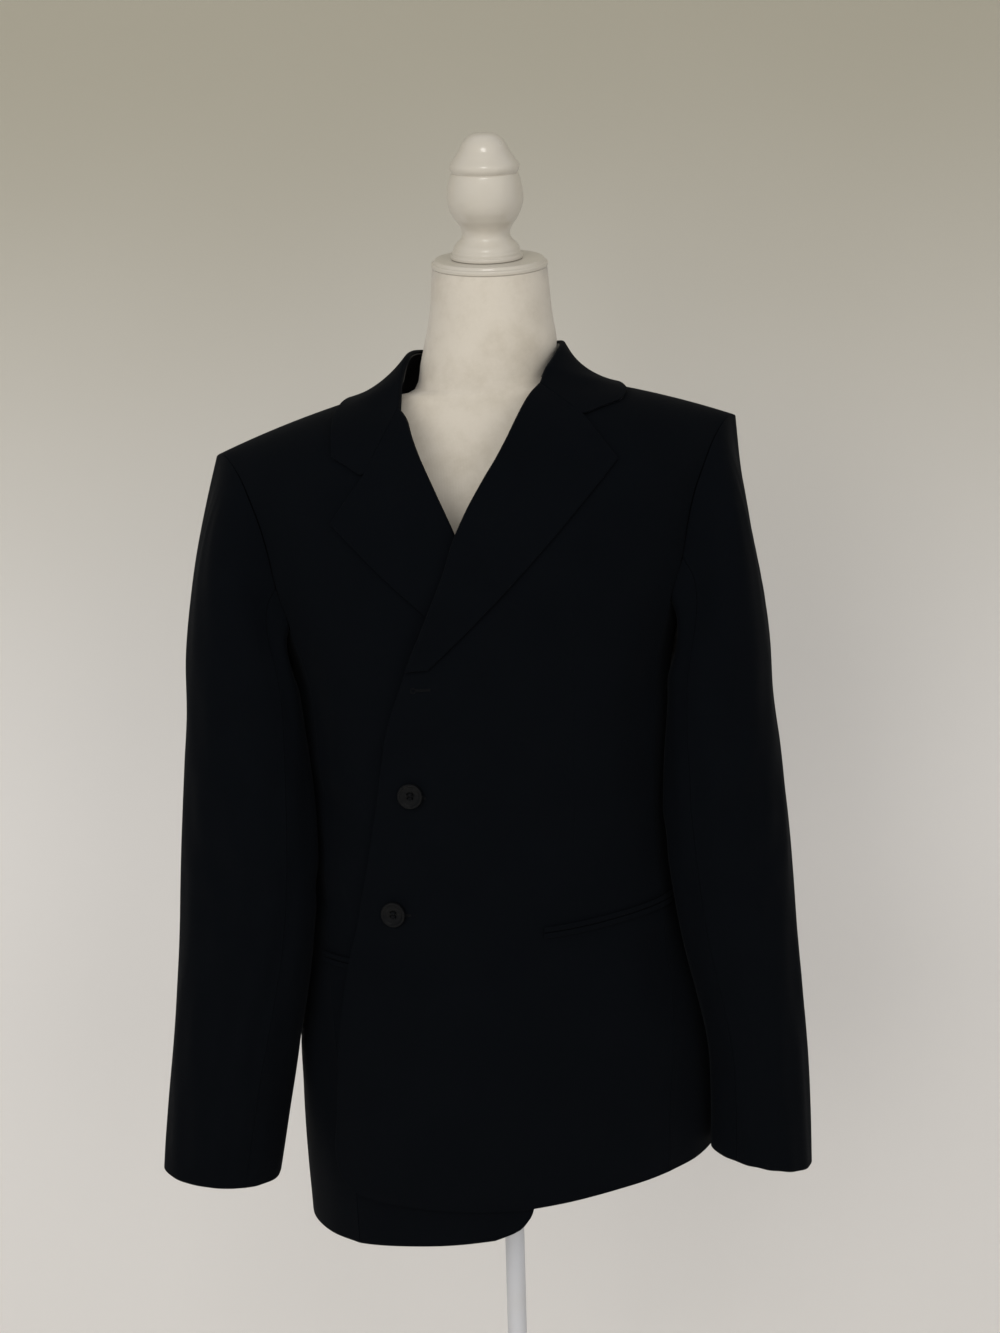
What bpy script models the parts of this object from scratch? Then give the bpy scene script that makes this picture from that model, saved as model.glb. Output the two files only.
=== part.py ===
"""Asymmetric double-breasted blazer hanging on a limbless dress form.

Frame: metres, +Z up, the coat's front faces -Y, the origin is on the floor under the middle of
the base disc. "Left" and "right" are the wearer's, so the coat's left is at +X.

The coat hangs a little lower on its right. Every coat height below is measured before that
slump, and hang() adds the slope last. A panel is a grid of points on the coat's outer face, with
its cloth wall behind it; what lies on a panel is made on the same face, moved out.
"""
import math

import bmesh
import bpy
import numpy as np
from mathutils import kdtree

for old_object in list(bpy.data.objects):
    bpy.data.objects.remove(old_object, do_unlink=True)

MM = 0.001

# Cloth
WALL = 2.0 * MM
SEAM_GAP = 0.3 * MM
ARMHOLE_EASE = 0.3 * MM
SEAM_TOUCH = 0.05 * MM
LAYER_GAP = 1.2 * MM
ON_TOP = WALL + LAYER_GAP

# How the coat hangs
SLUMP = 0.051
UNDERARM = 1.200
SHOULDER_Y = 0.004
NECK_REACH = 0.075
NECK_HEIGHT = 1.400
SHOULDER_FALL = 0.20
SHOULDER_ROUND = 0.60
CHEST_ROUND = 2.2
SECTION_ROUND = 2.5
ARMHOLE_RATIO = 0.90

# Coat sections from hem to underarm, squared ovals
BODY_COLUMNS = ("height", "centre", "half_width", "front_depth", "back_depth")
BODY = (
    (0.640, 0.0000, 0.1880, 0.126, 0.112),
    (0.750, -0.0010, 0.1905, 0.126, 0.112),
    (0.830, -0.0030, 0.1885, 0.125, 0.110),
    (0.920, -0.0090, 0.1720, 0.122, 0.104),
    (1.000, -0.0125, 0.1650, 0.121, 0.100),
    (1.100, -0.0135, 0.1650, 0.124, 0.104),
    (1.165, -0.0150, 0.1700, 0.127, 0.108),
    (1.200, -0.0160, 0.1800, 0.128, 0.110),
)

# Above the underarm the section opens out to the shoulder tips (rise 0 underarm, 1 shoulder)
REACH_COLUMNS = ("rise", "reach")
REACH = (
    (0.000, 0.180),
    (0.125, 0.193),
    (0.250, 0.200),
    (0.500, 0.220),
    (0.750, 0.240),
    (1.000, 0.257),
)


def column(table, columns, name):
    """One named column of a table, as an array."""
    return np.array([row[columns.index(name)] for row in table])


def smooth(at, places, values):
    """A smooth curve through the values, flat past its ends."""
    at = min(max(at, places[0]), places[-1])
    slopes = np.gradient(values, places)
    k = min(int(np.searchsorted(places, at, side="right")) - 1, len(places) - 2)
    step = places[k + 1] - places[k]
    f = (at - places[k]) / step
    h1 = 2 * f**3 - 3 * f**2 + 1
    h2 = f**3 - 2 * f**2 + f
    h3 = f**3 - f**2
    return h1 * values[k] + (1 - h1) * values[k + 1] + step * (h2 * slopes[k] + h3 * slopes[k + 1])


def look_up(table, columns, name, at):
    """A smooth value of a named column; the first column is the place."""
    return smooth(at, column(table, columns, columns[0]), column(table, columns, name))


def section(height, name):
    """A size of the coat's oval section at a height below the underarm."""
    return look_up(BODY, BODY_COLUMNS, name, height)


def rounded(across, power):
    """Depth of a squared oval, 1 in the middle and 0 at its side."""
    return max(0.0, 1.0 - abs(across) ** power) ** (1.0 / power)


def shoulder_height(x):
    """Height of the shoulder seam above a place across."""
    off = abs(x - section(UNDERARM, "centre")) - NECK_REACH
    return NECK_HEIGHT - SHOULDER_FALL * off - SHOULDER_ROUND * off * abs(off)


# A level is a height up to the underarm, and the underarm plus the rise (0 to 1) above it.
TOP = UNDERARM + 1.0


def reach(level):
    """Half width of the section at a level."""
    if level <= UNDERARM:
        return section(level, "half_width")
    return look_up(REACH, REACH_COLUMNS, "reach", level - UNDERARM)


def face(x, level, side):
    """Point of the coat's face at a place across; side is -1 in front and 1 behind."""
    below = min(level, UNDERARM)
    rise = max(level - UNDERARM, 0.0)
    depth = section(below, "front_depth" if side < 0 else "back_depth")
    across = (x - section(below, "centre")) / reach(level)
    y = side * depth * rounded(across, SECTION_ROUND)
    if rise <= 0.0:
        return np.array((x, y, level))
    turn = min(rise, 1.0) * math.pi / 2
    up = math.sin(turn) ** (2 / CHEST_ROUND)
    inward = max(math.cos(turn), 0.0) ** (2 / CHEST_ROUND)
    y = SHOULDER_Y + (y - SHOULDER_Y) * inward
    z = UNDERARM + (shoulder_height(x) - UNDERARM) * up
    return np.array((x, y, z))


def level_at(x, height):
    """The level whose face lies at a height, above a place across."""
    if height <= UNDERARM:
        return height
    up = min((height - UNDERARM) / (shoulder_height(x) - UNDERARM), 1.0)
    return UNDERARM + math.asin(up ** (CHEST_ROUND / 2)) * 2 / math.pi


def off_face(x, level, side, out):
    """Point of the coat's face moved out square to it."""
    step = 1.0 * MM
    along = face(x + step, level, side) - face(x - step, level, side)
    upward = face(x, level + step, side) - face(x, level - step, side)
    square = np.cross(along, upward) * -side
    return face(x, level, side) + square / np.linalg.norm(square) * out


def on_front(x, height, out):
    """Point above the front's face at a height, moved out square to it."""
    return off_face(x, level_at(x, height), -1, out)


def on_shoulder(x, y, out):
    """Point above the coat's face near the shoulder, found from its place in plan."""
    side = -1 if y < SHOULDER_Y else 1
    low, high = 0.0, 1.0
    for _ in range(30):
        rise = (low + high) / 2
        if (face(x, UNDERARM + rise, side)[1] - y) * side > 0:
            low = rise
        else:
            high = rise
    return off_face(x, UNDERARM + rise, side, out)


# ---- Edges of the panels -------------------------------------------------------------------

# Front edge and roll line of each front, from low to high
EDGE_COLUMNS = ("level", "x")
FRONT_LEFT_EDGE = (
    (0.740, -0.153),
    (0.870, -0.141),
    (0.969, -0.120),
    (1.054, -0.104),
    (1.107, -0.0955),
    (1.150, -0.081),
    (1.200, -0.063),
    (1.387, -0.033),
    (1.600, 0.003),
    (1.828, 0.027),
    (2.000, 0.043),
    (2.200, 0.059),
)
FRONT_RIGHT_EDGE = (
    (0.700, 0.019),
    (0.850, 0.023),
    (1.100, 0.022),
    (1.150, 0.016),
    (1.200, -0.005),
    (1.387, -0.033),
    (1.660, -0.064),
    (1.900, -0.077),
    (2.050, -0.085),
    (2.200, -0.091),
)

# Where the side seams lie, as a share of the half width
SEAM_COLUMNS = ("level", "front_seam", "back_seam")
SIDE_SEAMS = (
    (0.640, 0.72, 0.80),
    (0.750, 0.73, 0.80),
    (0.900, 0.84, 0.83),
    (1.080, 0.88, 0.87),
    (1.200, ARMHOLE_RATIO, ARMHOLE_RATIO),
)

# Hem heights at the seams
HEM_LEFT_EDGE = 0.692
HEM_LEFT_SIDE = 0.702
HEM_RIGHT_EDGE = 0.665
HEM_RIGHT_SIDE = 0.657
HEM_SIDE_REACH = 0.139
HEM_BACK_REACH = 0.152
CORNER_RADIUS = 0.036
UNDERARM_DIP = 0.008

ROWS_BELOW = (0.0, 0.009, 0.03, 0.07, 0.14, 0.22, 0.31, 0.40, 0.49, 0.58, 0.67, 0.76, 0.84, 0.92, 1.0)
RISE_ROWS = 9
UNDERARM_COLUMNS = 6
FRONT_COLUMNS = 12
BACK_NECK_COLUMNS = 4
BACK_COLUMNS = 7


def hem_height(x, side, left):
    """Height of the hem, front or back, on the coat's left or right half."""
    edge = HEM_LEFT_EDGE if left else HEM_RIGHT_EDGE
    end = HEM_LEFT_SIDE if left else HEM_RIGHT_SIDE
    if side < 0:
        return edge + (end - edge) * min(abs(x) / HEM_SIDE_REACH, 1.0)
    middle = (HEM_LEFT_SIDE + HEM_RIGHT_SIDE) / 2
    return middle + (HEM_LEFT_SIDE - middle) * x / HEM_BACK_REACH


def seam_share(level, name):
    """Where a side seam lies at a level, as a share of the half width."""
    return look_up(SIDE_SEAMS, SEAM_COLUMNS, name, min(level, UNDERARM))


def panel_levels(hem):
    """Levels of a panel's rows, from its hem to the shoulder."""
    low = [hem + (UNDERARM - hem) * share for share in ROWS_BELOW]
    high = [UNDERARM + k / RISE_ROWS for k in range(1, RISE_ROWS + 1)]
    return low + high


def seam_x(level, name, left):
    """Place across of a side seam or of the armhole."""
    sign = 1 if left else -1
    centre = section(min(level, UNDERARM), "centre")
    return centre + sign * seam_share(level, name) * reach(level)


def front_grid(edge_table, left, lifted):
    """A front: rows from hem to shoulder, columns from its front edge to its side."""
    side_hem = HEM_LEFT_SIDE if left else HEM_RIGHT_SIDE
    sign = 1 if left else -1
    rows = []
    for k, side_level in enumerate(panel_levels(side_hem)):
        above = side_level > UNDERARM
        edge_hem = HEM_LEFT_EDGE if left else HEM_RIGHT_EDGE
        edge_level = panel_levels(edge_hem)[k]
        x_in = look_up(edge_table, EDGE_COLUMNS, "x", edge_level)
        drop = max(CORNER_RADIUS - (edge_level - edge_hem), 0.0)
        x_in += sign * (CORNER_RADIUS - math.sqrt(CORNER_RADIUS**2 - drop**2))
        x_out = seam_x(side_level, "front_seam", left)
        row = []
        for j in range(FRONT_COLUMNS + 1):
            x = x_in + (x_out - x_in) * j / FRONT_COLUMNS
            level = side_level if above else panel_levels(hem_height(x, -1, left))[k]
            if j == FRONT_COLUMNS:
                level = side_level
            point = face(x, level, -1)
            if lifted:
                point = on_front(x, point[2], wrap_lift(x, level)) if level < TOP else point
            row.append(point)
        rows.append(row)
    return np.array(rows)


# The outer front stands off the under front, and off its lapel, where it wraps over them
WRAP_LOW = 5.0 * MM
WRAP_HIGH = 2 * ON_TOP
WRAP_FADE = 0.100
WRAP_CLIMB_START = 1.09
WRAP_CLIMB = 0.05


def wrap_lift(x, level):
    """How far the outer front stands off the coat's face."""
    hidden_edge = look_up(FRONT_RIGHT_EDGE, EDGE_COLUMNS, "x", level) + 6 * MM
    past = min(max((x - hidden_edge) / WRAP_FADE, 0.0), 1.0)
    fade = 1 - past * past * (3 - 2 * past)
    climb = min(max((level - WRAP_CLIMB_START) / WRAP_CLIMB, 0.0), 1.0)
    return fade * (WRAP_LOW + (WRAP_HIGH - WRAP_LOW) * climb)


def back_grid(left):
    """A back: columns from the centre seam to its side, under the collar and up to the shoulder."""
    side_hem = HEM_LEFT_SIDE if left else HEM_RIGHT_SIDE
    sign = 1 if left else -1
    count = BACK_NECK_COLUMNS + BACK_COLUMNS
    neck_share = BACK_NECK_COLUMNS / count
    middle_levels = panel_levels(hem_height(0.0, 1, left))
    rows = []
    for k, side_level in enumerate(panel_levels(side_hem)):
        x_out = seam_x(side_level, "back_seam", left)
        centre = section(min(middle_levels[k], UNDERARM), "centre")
        neck_x = centre + sign * NECK_REACH
        rise = max(side_level - UNDERARM, 0.0)
        row = []
        for j in range(count + 1):
            share = j / count
            even = centre + (x_out - centre) * share
            if share <= neck_share:
                shaped = centre + (neck_x - centre) * share / neck_share
            else:
                shaped = neck_x + (x_out - neck_x) * (share - neck_share) / (1 - neck_share)
            x = even + (shaped - even) * rise
            if rise > 0:
                level = UNDERARM + rise * neck_top(x - centre)
            elif j == count:
                level = side_level
            elif j == 0:
                level = middle_levels[k]
            else:
                level = panel_levels(hem_height(x, 1, left))[k]
            row.append(face(x, level, 1))
        rows.append(row)
    return np.array(rows)


BACK_NECK_RISE = 0.68
BACK_NECK_WIDTH = 2.2
BACK_NECK_CURVE = 0.8


def neck_top(off):
    """How far up the back panel goes (1 is the shoulder seam), lower behind the neck."""
    inside = max(1 - abs(off) / NECK_REACH, 0.0)
    return 1 - (1 - BACK_NECK_RISE) * min(inside * BACK_NECK_WIDTH, 1.0) ** BACK_NECK_CURVE


def side_grid(left):
    """A side panel, from its front seam round to its back seam, up to the underarm."""
    side_hem = HEM_LEFT_SIDE if left else HEM_RIGHT_SIDE
    sign = 1 if left else -1
    power = SECTION_ROUND / 2
    rows = []
    for height in panel_levels(side_hem)[:len(ROWS_BELOW)]:
        start = -math.acos(seam_share(height, "front_seam") ** power)
        end = math.acos(seam_share(height, "back_seam") ** power)
        row = []
        for j in range(UNDERARM_COLUMNS + 1):
            turn = start + (end - start) * j / UNDERARM_COLUMNS
            depth = section(height, "front_depth" if turn < 0 else "back_depth")
            x = section(height, "centre") + sign * reach(height) * math.cos(turn) ** (1 / power)
            y = math.copysign(depth * abs(math.sin(turn)) ** (1 / power), turn)
            climb = (height - side_hem) / (UNDERARM - side_hem)
            middle = 1 - (2 * j / UNDERARM_COLUMNS - 1) ** 2
            row.append((x, y, height - UNDERARM_DIP * middle * climb**4))
        rows.append(row)
    return np.array(rows)


# ---- Sleeves ---------------------------------------------------------------------------------

SLEEVE_COLUMNS = ("height", "x", "y", "half_width", "half_depth", "outward_rise")
SLEEVE_LEFT = (
    (0.707, 0.2205, -0.058, 0.0490, 0.0400, -0.22),
    (0.800, 0.2180, -0.058, 0.0472, 0.0440, -0.08),
    (0.930, 0.1988, -0.055, 0.0568, 0.0500, 0.00),
    (1.030, 0.1888, -0.046, 0.0602, 0.0570, 0.00),
    (1.125, 0.1852, -0.031, 0.0550, 0.0620, 0.00),
)
SLEEVE_RIGHT = (
    (0.703, -0.2620, -0.058, 0.0520, 0.0400, 0.12),
    (0.800, -0.2456, -0.058, 0.0566, 0.0440, 0.00),
    (0.930, -0.2230, -0.055, 0.0655, 0.0500, 0.00),
    (1.030, -0.2170, -0.046, 0.0655, 0.0570, 0.00),
    (1.125, -0.2160, -0.031, 0.0615, 0.0620, 0.00),
)
# How far each sleeve head swells past the shoulder seam before it turns down
HEAD_PUFF_LEFT = 0.05
HEAD_PUFF_RIGHT = 0.28
SLEEVE_CLEAR = 4.0 * MM
SLEEVE_PRESS = 6.0 * MM
SLEEVE_LOW_ROWS = 8
SLEEVE_HEAD_ROWS = 6
SLEEVE_AROUND = 2 * RISE_ROWS + UNDERARM_COLUMNS
FRONT_SLEEVE_SEAM = 8
BACK_SLEEVE_SEAM = 17


def beside_body(off, y, height):
    """Distance out from the coat's middle, eased clear of the body the sleeve rests against."""
    depth = section(height, "front_depth" if y < 0 else "back_depth")
    least = section(height, "half_width") * rounded(y / depth, SECTION_ROUND) + SLEEVE_CLEAR
    return (off + least + math.hypot(off - least, SLEEVE_PRESS)) / 2


def sleeve_ring(table, sign, height):
    """One section of a sleeve, from its outer side round the front."""
    centre = section(height, "centre")
    size = {name: look_up(table, SLEEVE_COLUMNS, name, height) for name in SLEEVE_COLUMNS[1:]}
    ring = []
    for j in range(SLEEVE_AROUND + 1):
        turn = 2 * math.pi * j / SLEEVE_AROUND
        off = size["half_width"] * math.cos(turn)
        y = size["y"] - size["half_depth"] * math.sin(turn)
        out = beside_body(sign * (size["x"] - centre) + off, y, height)
        ring.append((centre + sign * out, y, height + size["outward_rise"] * off))
    return np.array(ring)


def sleeve_head(loop, ring, sign, puff):
    """Rows from the armhole seam to the first ring, leaving the seam outward and turning down."""
    rows = []
    for k in range(SLEEVE_HEAD_ROWS):
        f = k / SLEEVE_HEAD_ROWS
        h1 = 2 * f**3 - 3 * f**2 + 1
        h2 = f**3 - 2 * f**2 + f
        h3 = f**3 - f**2
        row = []
        for j in range(SLEEVE_AROUND + 1):
            turn = 2 * math.pi * j / SLEEVE_AROUND
            top = max(math.cos(turn), 0.0) ** 2
            under = max(-math.cos(turn), 0.0) ** 2
            flank = math.sin(turn) ** 2
            outward = puff * top + 0.70 * flank + 0.26 * under
            forward = -0.45 * math.sin(turn) * flank
            down = 0.95 * top + 0.68 * flank + 0.9 * under
            leave = np.array((sign * outward, forward, -down))
            span = np.linalg.norm(ring[j] - loop[j])
            row.append(h1 * loop[j] + h2 * span * leave
                       + (1 - h1) * ring[j] + h3 * span * np.array((0, 0, -1.0)))
        rows.append(row)
    return rows


def sleeve_grid(table, sign, loop):
    """A whole sleeve from the armhole seam to the cuff."""
    heights = column(table, SLEEVE_COLUMNS, "height")
    first = sleeve_ring(table, sign, heights[-1])
    rows = sleeve_head(loop, first, sign, HEAD_PUFF_LEFT if sign > 0 else HEAD_PUFF_RIGHT)
    for k in range(SLEEVE_LOW_ROWS + 1):
        height = heights[-1] + (heights[0] - heights[-1]) * k / SLEEVE_LOW_ROWS
        rows.append(sleeve_ring(table, sign, height))
    return np.array(rows)


def armhole_loop(front, side, back):
    """The armhole seam, from the shoulder tip down the front, under the arm and up the back."""
    low = len(ROWS_BELOW) - 1
    down_front = front[low:, -1][::-1]
    under = side[-1, 1:]
    up_back = back[low + 1:, -1]
    return np.concatenate((down_front, under, up_back))


# ---- Lapels and collar -----------------------------------------------------------------------

# (x, height) of the gorge seam's inner end, the notch and the two corners, on the coat's face
GORGE_LEFT = (0.038, 1.388)
NOTCH_LEFT = (0.0735, 1.360)
LAPEL_CORNER_LEFT = (0.101, 1.321)
LEAF_CORNER_LEFT = (0.107, 1.370)
BREAK_LEFT = (-0.064, 1.163)
LAPEL_BELLY_LEFT = 0.004
GORGE_RIGHT = (-0.078, 1.376)
NOTCH_RIGHT = (-0.108, 1.323)
LAPEL_CORNER_RIGHT = (-0.136, 1.286)
LEAF_CORNER_RIGHT = (-0.135, 1.340)
BREAK_RIGHT = (0.010, 1.150)
LAPEL_BELLY_RIGHT = 0.004
LAPEL_COLUMNS = 6
LAPEL_ROWS = 11
LAPEL_FOOT = 0.006
NOTCH_COLUMN = 4
LAPEL_ROLL = 2.2 * MM
LAPEL_FREE = 0.15
LAPEL_BULGE_SHARE = 0.7
V_POINT = 1.40


def bent_line(start, bend, end, bend_at, share):
    """A place on a line with one bend."""
    start, bend, end = np.array(start), np.array(bend), np.array(end)
    if share <= bend_at:
        return start + (bend - start) * share / bend_at
    return bend + (end - bend) * (share - bend_at) / (1 - bend_at)


def lapel_grid(edge_table, gorge, notch, corner, foot, belly, base_lift, covered=0.0):
    """A turned-out lapel: rows down the roll line, columns from the roll to its free edge."""
    notch_at = NOTCH_COLUMN / LAPEL_COLUMNS
    level_top = level_at(*gorge)
    level_low = level_at(*foot)
    sign = 1 if corner[0] > gorge[0] else -1
    rows = []
    for k in range(LAPEL_ROWS + 1):
        f = k / LAPEL_ROWS
        level = level_top + (level_low - level_top) * f
        x_roll = look_up(edge_table, EDGE_COLUMNS, "x", level)
        roll = np.array((x_roll, face(x_roll, level, -1)[2]))
        if k == 0:
            roll = np.array(gorge)
        free = np.array(corner) + (np.array(foot) + (sign * LAPEL_FOOT, 0) - corner) * f
        bulge = 4 * f * (1 - f) * belly
        free = free + np.array((sign, -1.0)) * bulge * LAPEL_BULGE_SHARE
        row = []
        for j in range(LAPEL_COLUMNS + 1):
            s = j / LAPEL_COLUMNS
            straight = roll + (free - roll) * s
            bent = bent_line(gorge, notch, corner, notch_at, s)
            plain = np.array(gorge) + (np.array(corner) - gorge) * s
            x, height = straight + (bent - plain) * (1 - f) ** 3
            level_here = level_at(x, height)
            free_roll = min(max((level_here - covered) / LAPEL_FREE, 0.0), 1.0)
            out = base_lift(x, level_here) + ON_TOP + LAPEL_ROLL * (1 - s) ** 2 * free_roll
            row.append(on_front(x, height, out))
        rows.append(row)
    return np.array(rows)


# Stations of the collar from the coat's left gorge round the back to its right gorge:
# fold (x, y, height) and the leaf's free edge (x, y), whose height is the coat's face there
COLLAR_COLUMNS = ("fold_x", "fold_y", "fold_height", "edge_x", "edge_y", "swell")
COLLAR = (
    (0.0480, -0.0470, 1.4060, 0.1150, -0.0345, -0.002),
    (0.0600, -0.0220, 1.4225, 0.1100, -0.0050, -0.005),
    (0.0640, 0.0100, 1.4315, 0.1000, 0.0300, -0.008),
    (0.0520, 0.0440, 1.4345, 0.0860, 0.0600, -0.003),
    (0.0230, 0.0630, 1.4360, 0.0430, 0.0750, 0.001),
    (-0.0080, 0.0680, 1.4370, -0.0160, 0.0790, 0.001),
    (-0.0390, 0.0640, 1.4370, -0.0720, 0.0750, 0.001),
    (-0.0620, 0.0460, 1.4365, -0.1020, 0.0600, -0.003),
    (-0.0715, 0.0100, 1.4330, -0.1170, 0.0300, -0.008),
    (-0.0760, -0.0200, 1.4240, -0.1270, -0.0100, -0.006),
    (-0.0790, -0.0450, 1.4050, -0.1360, -0.0500, -0.002),
)
LEAF_COLUMNS = LAPEL_COLUMNS
LEAF_PARTS = 2
LEAF_END_PARTS = 3
FOLD_CLEAR = 3.0 * MM
FOLD_INSIDE = 1.8 * MM
STAND_ROWS = 2
STAND_FOOT = 1.5 * MM
NECK_FRONT_SHARE = 0.26
NECK_FRONT_RISE = 0.80


def gorge_row(gorge, notch, corner):
    """The leaf's front edge, sewn to the lapel as far as the notch."""
    bend_at = NOTCH_COLUMN / LAPEL_COLUMNS
    row = []
    for j in range(LEAF_COLUMNS + 1):
        s = j / LEAF_COLUMNS
        x, height = bent_line(gorge, notch, corner, bend_at, s)
        row.append(on_front(x, height, ON_TOP + LAPEL_ROLL * (1 - s) ** 2))
    return row


def collar_place(share, name):
    """A size of the collar, share 0 at the coat's left and 1 at its right."""
    values = column(COLLAR, COLLAR_COLUMNS, name)
    return smooth(share * (len(COLLAR) - 1), np.arange(len(COLLAR)), values)


def over_coat(point):
    """A point of the leaf, kept on top of the coat's face."""
    below = on_shoulder(point[0], point[1], 0.0)
    above = on_shoulder(point[0], point[1], ON_TOP)
    steep = (above - below)[2] / ON_TOP
    floor = below[2] + ON_TOP / max(steep, 0.2)
    return above if point[2] < floor else np.array(point)


def fold_point(at):
    """The collar's fold line, at 0 at the coat's left gorge and 1 at its right."""
    return np.array([collar_place(at, name) for name in ("fold_x", "fold_y", "fold_height")])


def leaf_grid():
    """The collar's turned-down leaf, from gorge to gorge; columns from the fold to the free edge."""
    steps = LEAF_PARTS * (len(COLLAR) - 1)
    middle = []
    for k in range(steps + 1):
        at = k / steps
        fold = fold_point(at)
        edge = on_shoulder(collar_place(at, "edge_x"), collar_place(at, "edge_y"), ON_TOP)
        row = []
        for j in range(LEAF_COLUMNS + 1):
            s = j / LEAF_COLUMNS
            swell = 4 * s * (1 - s) * collar_place(at, "swell")
            point = fold + (edge - fold) * s + np.array((0, 0, swell))
            row.append(over_coat(point) if 0 < j < LEAF_COLUMNS else point)
        middle.append(row)
    starts = np.array(gorge_row(GORGE_LEFT, NOTCH_LEFT, LEAF_CORNER_LEFT))
    ends = np.array(gorge_row(GORGE_RIGHT, NOTCH_RIGHT, LEAF_CORNER_RIGHT))
    rows = [starts]
    for k in range(1, LEAF_END_PARTS):
        between = starts + (np.array(middle[0]) - starts) * k / LEAF_END_PARTS
        rows.append([over_coat(point) for point in between])
    rows += middle
    for k in range(1, LEAF_END_PARTS):
        between = np.array(middle[-1]) + (ends - np.array(middle[-1])) * k / LEAF_END_PARTS
        rows.append([over_coat(point) for point in between])
    rows.append(ends)
    return np.array(rows)


def neck_edge(share):
    """The neckline that the stand is sewn to, share 0 at the coat's left and 1 at its right."""
    if share < NECK_FRONT_SHARE:
        level = UNDERARM + NECK_FRONT_RISE + (1 - NECK_FRONT_RISE) * share / NECK_FRONT_SHARE
        return face(look_up(FRONT_LEFT_EDGE, EDGE_COLUMNS, "x", level), level, -1)
    if share > 1 - NECK_FRONT_SHARE:
        level = UNDERARM + NECK_FRONT_RISE + (1 - NECK_FRONT_RISE) * (1 - share) / NECK_FRONT_SHARE
        return face(look_up(FRONT_RIGHT_EDGE, EDGE_COLUMNS, "x", level), level, -1)
    centre = section(UNDERARM, "centre")
    turn = (share - NECK_FRONT_SHARE) / (1 - 2 * NECK_FRONT_SHARE)
    off = NECK_REACH * math.cos(math.pi * turn)
    return face(centre + off, UNDERARM + neck_top(off), 1)


def stand_grid():
    """The collar's stand, from the neckline up to just under the fold."""
    steps = LEAF_PARTS * (len(COLLAR) - 1)
    rows = []
    for k in range(steps + 1):
        at = k / steps
        foot = neck_edge(at) + np.array((0, 0, STAND_FOOT))
        fold = fold_point(at)
        away = np.array((fold[0] - section(UNDERARM, "centre"), fold[1], 0))
        away /= np.linalg.norm(away)
        top = fold - away * FOLD_INSIDE - np.array((0, 0, FOLD_CLEAR))
        rows.append([foot + (top - foot) * j / STAND_ROWS for j in range(STAND_ROWS + 1)])
    return np.array(rows)


# ---- Pockets and buttons ---------------------------------------------------------------------

JET_COLUMNS = ("name", "start_x", "end_x", "start_height", "end_height")
POCKETS = (
    ("pocket_left", 0.030, 0.150, 0.934, 0.939),
    ("pocket_right", -0.066, -0.160, 0.907, 0.912),
)
JET_DEPTH = 5.0 * MM
JET_WALL = 1.2 * MM
JET_SEAT = 0.9 * MM
JET_STEPS = 12

BUTTON_COLUMNS = ("name", "x", "height")
BUTTONS = (
    ("button_upper", -0.0758, 1.0588),
    ("button_lower", -0.0930, 0.9575),
)
BUTTON_RADIUS = 10.7 * MM
BUTTON_THICK = 3.6 * MM
BUTTON_WELL = 7.6 * MM
BUTTON_HOLE = 1.1 * MM
BUTTON_HOLE_OUT = 2.3 * MM
BUTTON_SEAT = 0.6 * MM


def flat(x, level):
    """No lift: the coat's face itself."""
    return 0.0


def jet_grid(pocket, upper, lift):
    """One narrow welt of a jetted pocket."""
    name, x0, x1, height0, height1 = pocket
    low = SEAM_GAP / 2 if upper else -SEAM_GAP / 2 - JET_DEPTH
    rows = []
    for k in range(2):
        row = []
        for j in range(JET_STEPS + 1):
            x = x0 + (x1 - x0) * j / JET_STEPS
            height = height0 + (height1 - height0) * j / JET_STEPS + low + JET_DEPTH * k
            row.append(on_front(x, height, lift(x, height) + JET_WALL + JET_SEAT))
        rows.append(row)
    return np.array(rows)


# ---- Dress form ------------------------------------------------------------------------------

FORM_COLUMNS = ("height", "centre", "half_width", "front_depth", "back_depth", "slant", "round")
FORM = (
    (0.8000, 0.0000, 0.1480, 0.0980, 0.0920, 0.0, 2.30),
    (0.8060, 0.0000, 0.1540, 0.1030, 0.0970, 0.0, 2.30),
    (0.8800, 0.0000, 0.1480, 0.1060, 0.0920, 0.0, 2.30),
    (0.9800, 0.0000, 0.1260, 0.0900, 0.0800, 0.0, 2.20),
    (1.0800, 0.0000, 0.1340, 0.0980, 0.0840, 0.0, 2.20),
    (1.1700, 0.0000, 0.1440, 0.1060, 0.0920, 0.0, 2.20),
    (1.2400, 0.0000, 0.1480, 0.1000, 0.0920, 0.0, 2.20),
    (1.3000, 0.0000, 0.1520, 0.0860, 0.0840, 0.0, 2.10),
    (1.3350, 0.0000, 0.1540, 0.0700, 0.0720, 0.0, 2.00),
    (1.3580, 0.0000, 0.1500, 0.0600, 0.0600, 0.0, 1.90),
    (1.3720, 0.0000, 0.1380, 0.0565, 0.0540, 0.0, 1.80),
    (1.3840, 0.0000, 0.1170, 0.0550, 0.0505, 0.0, 1.76),
    (1.3890, -0.0015, 0.0845, 0.0540, 0.0435, 0.0, 1.80),
    (1.3930, -0.0060, 0.0640, 0.0538, 0.0425, 0.0, 1.90),
    (1.4010, -0.0069, 0.0585, 0.0535, 0.0445, 0.0, 2.00),
    (1.4130, -0.0050, 0.0587, 0.0535, 0.0475, 0.0, 2.00),
    (1.4320, -0.0009, 0.0585, 0.0535, 0.0515, 0.4, 2.00),
    (1.4550, 0.0000, 0.0545, 0.0532, 0.0530, 0.8, 2.00),
    (1.4990, 0.0000, 0.0505, 0.0505, 0.0505, 1.0, 2.00),
)
FORM_AROUND = 36
NECK_TILT = math.radians(19)
NECK_TOP = 1.499
FINIAL_ASIDE = -2.2 * MM
NECK_PLATE_RADIUS = 0.0512
NECK_PLATE_THICK = 0.0065
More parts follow.
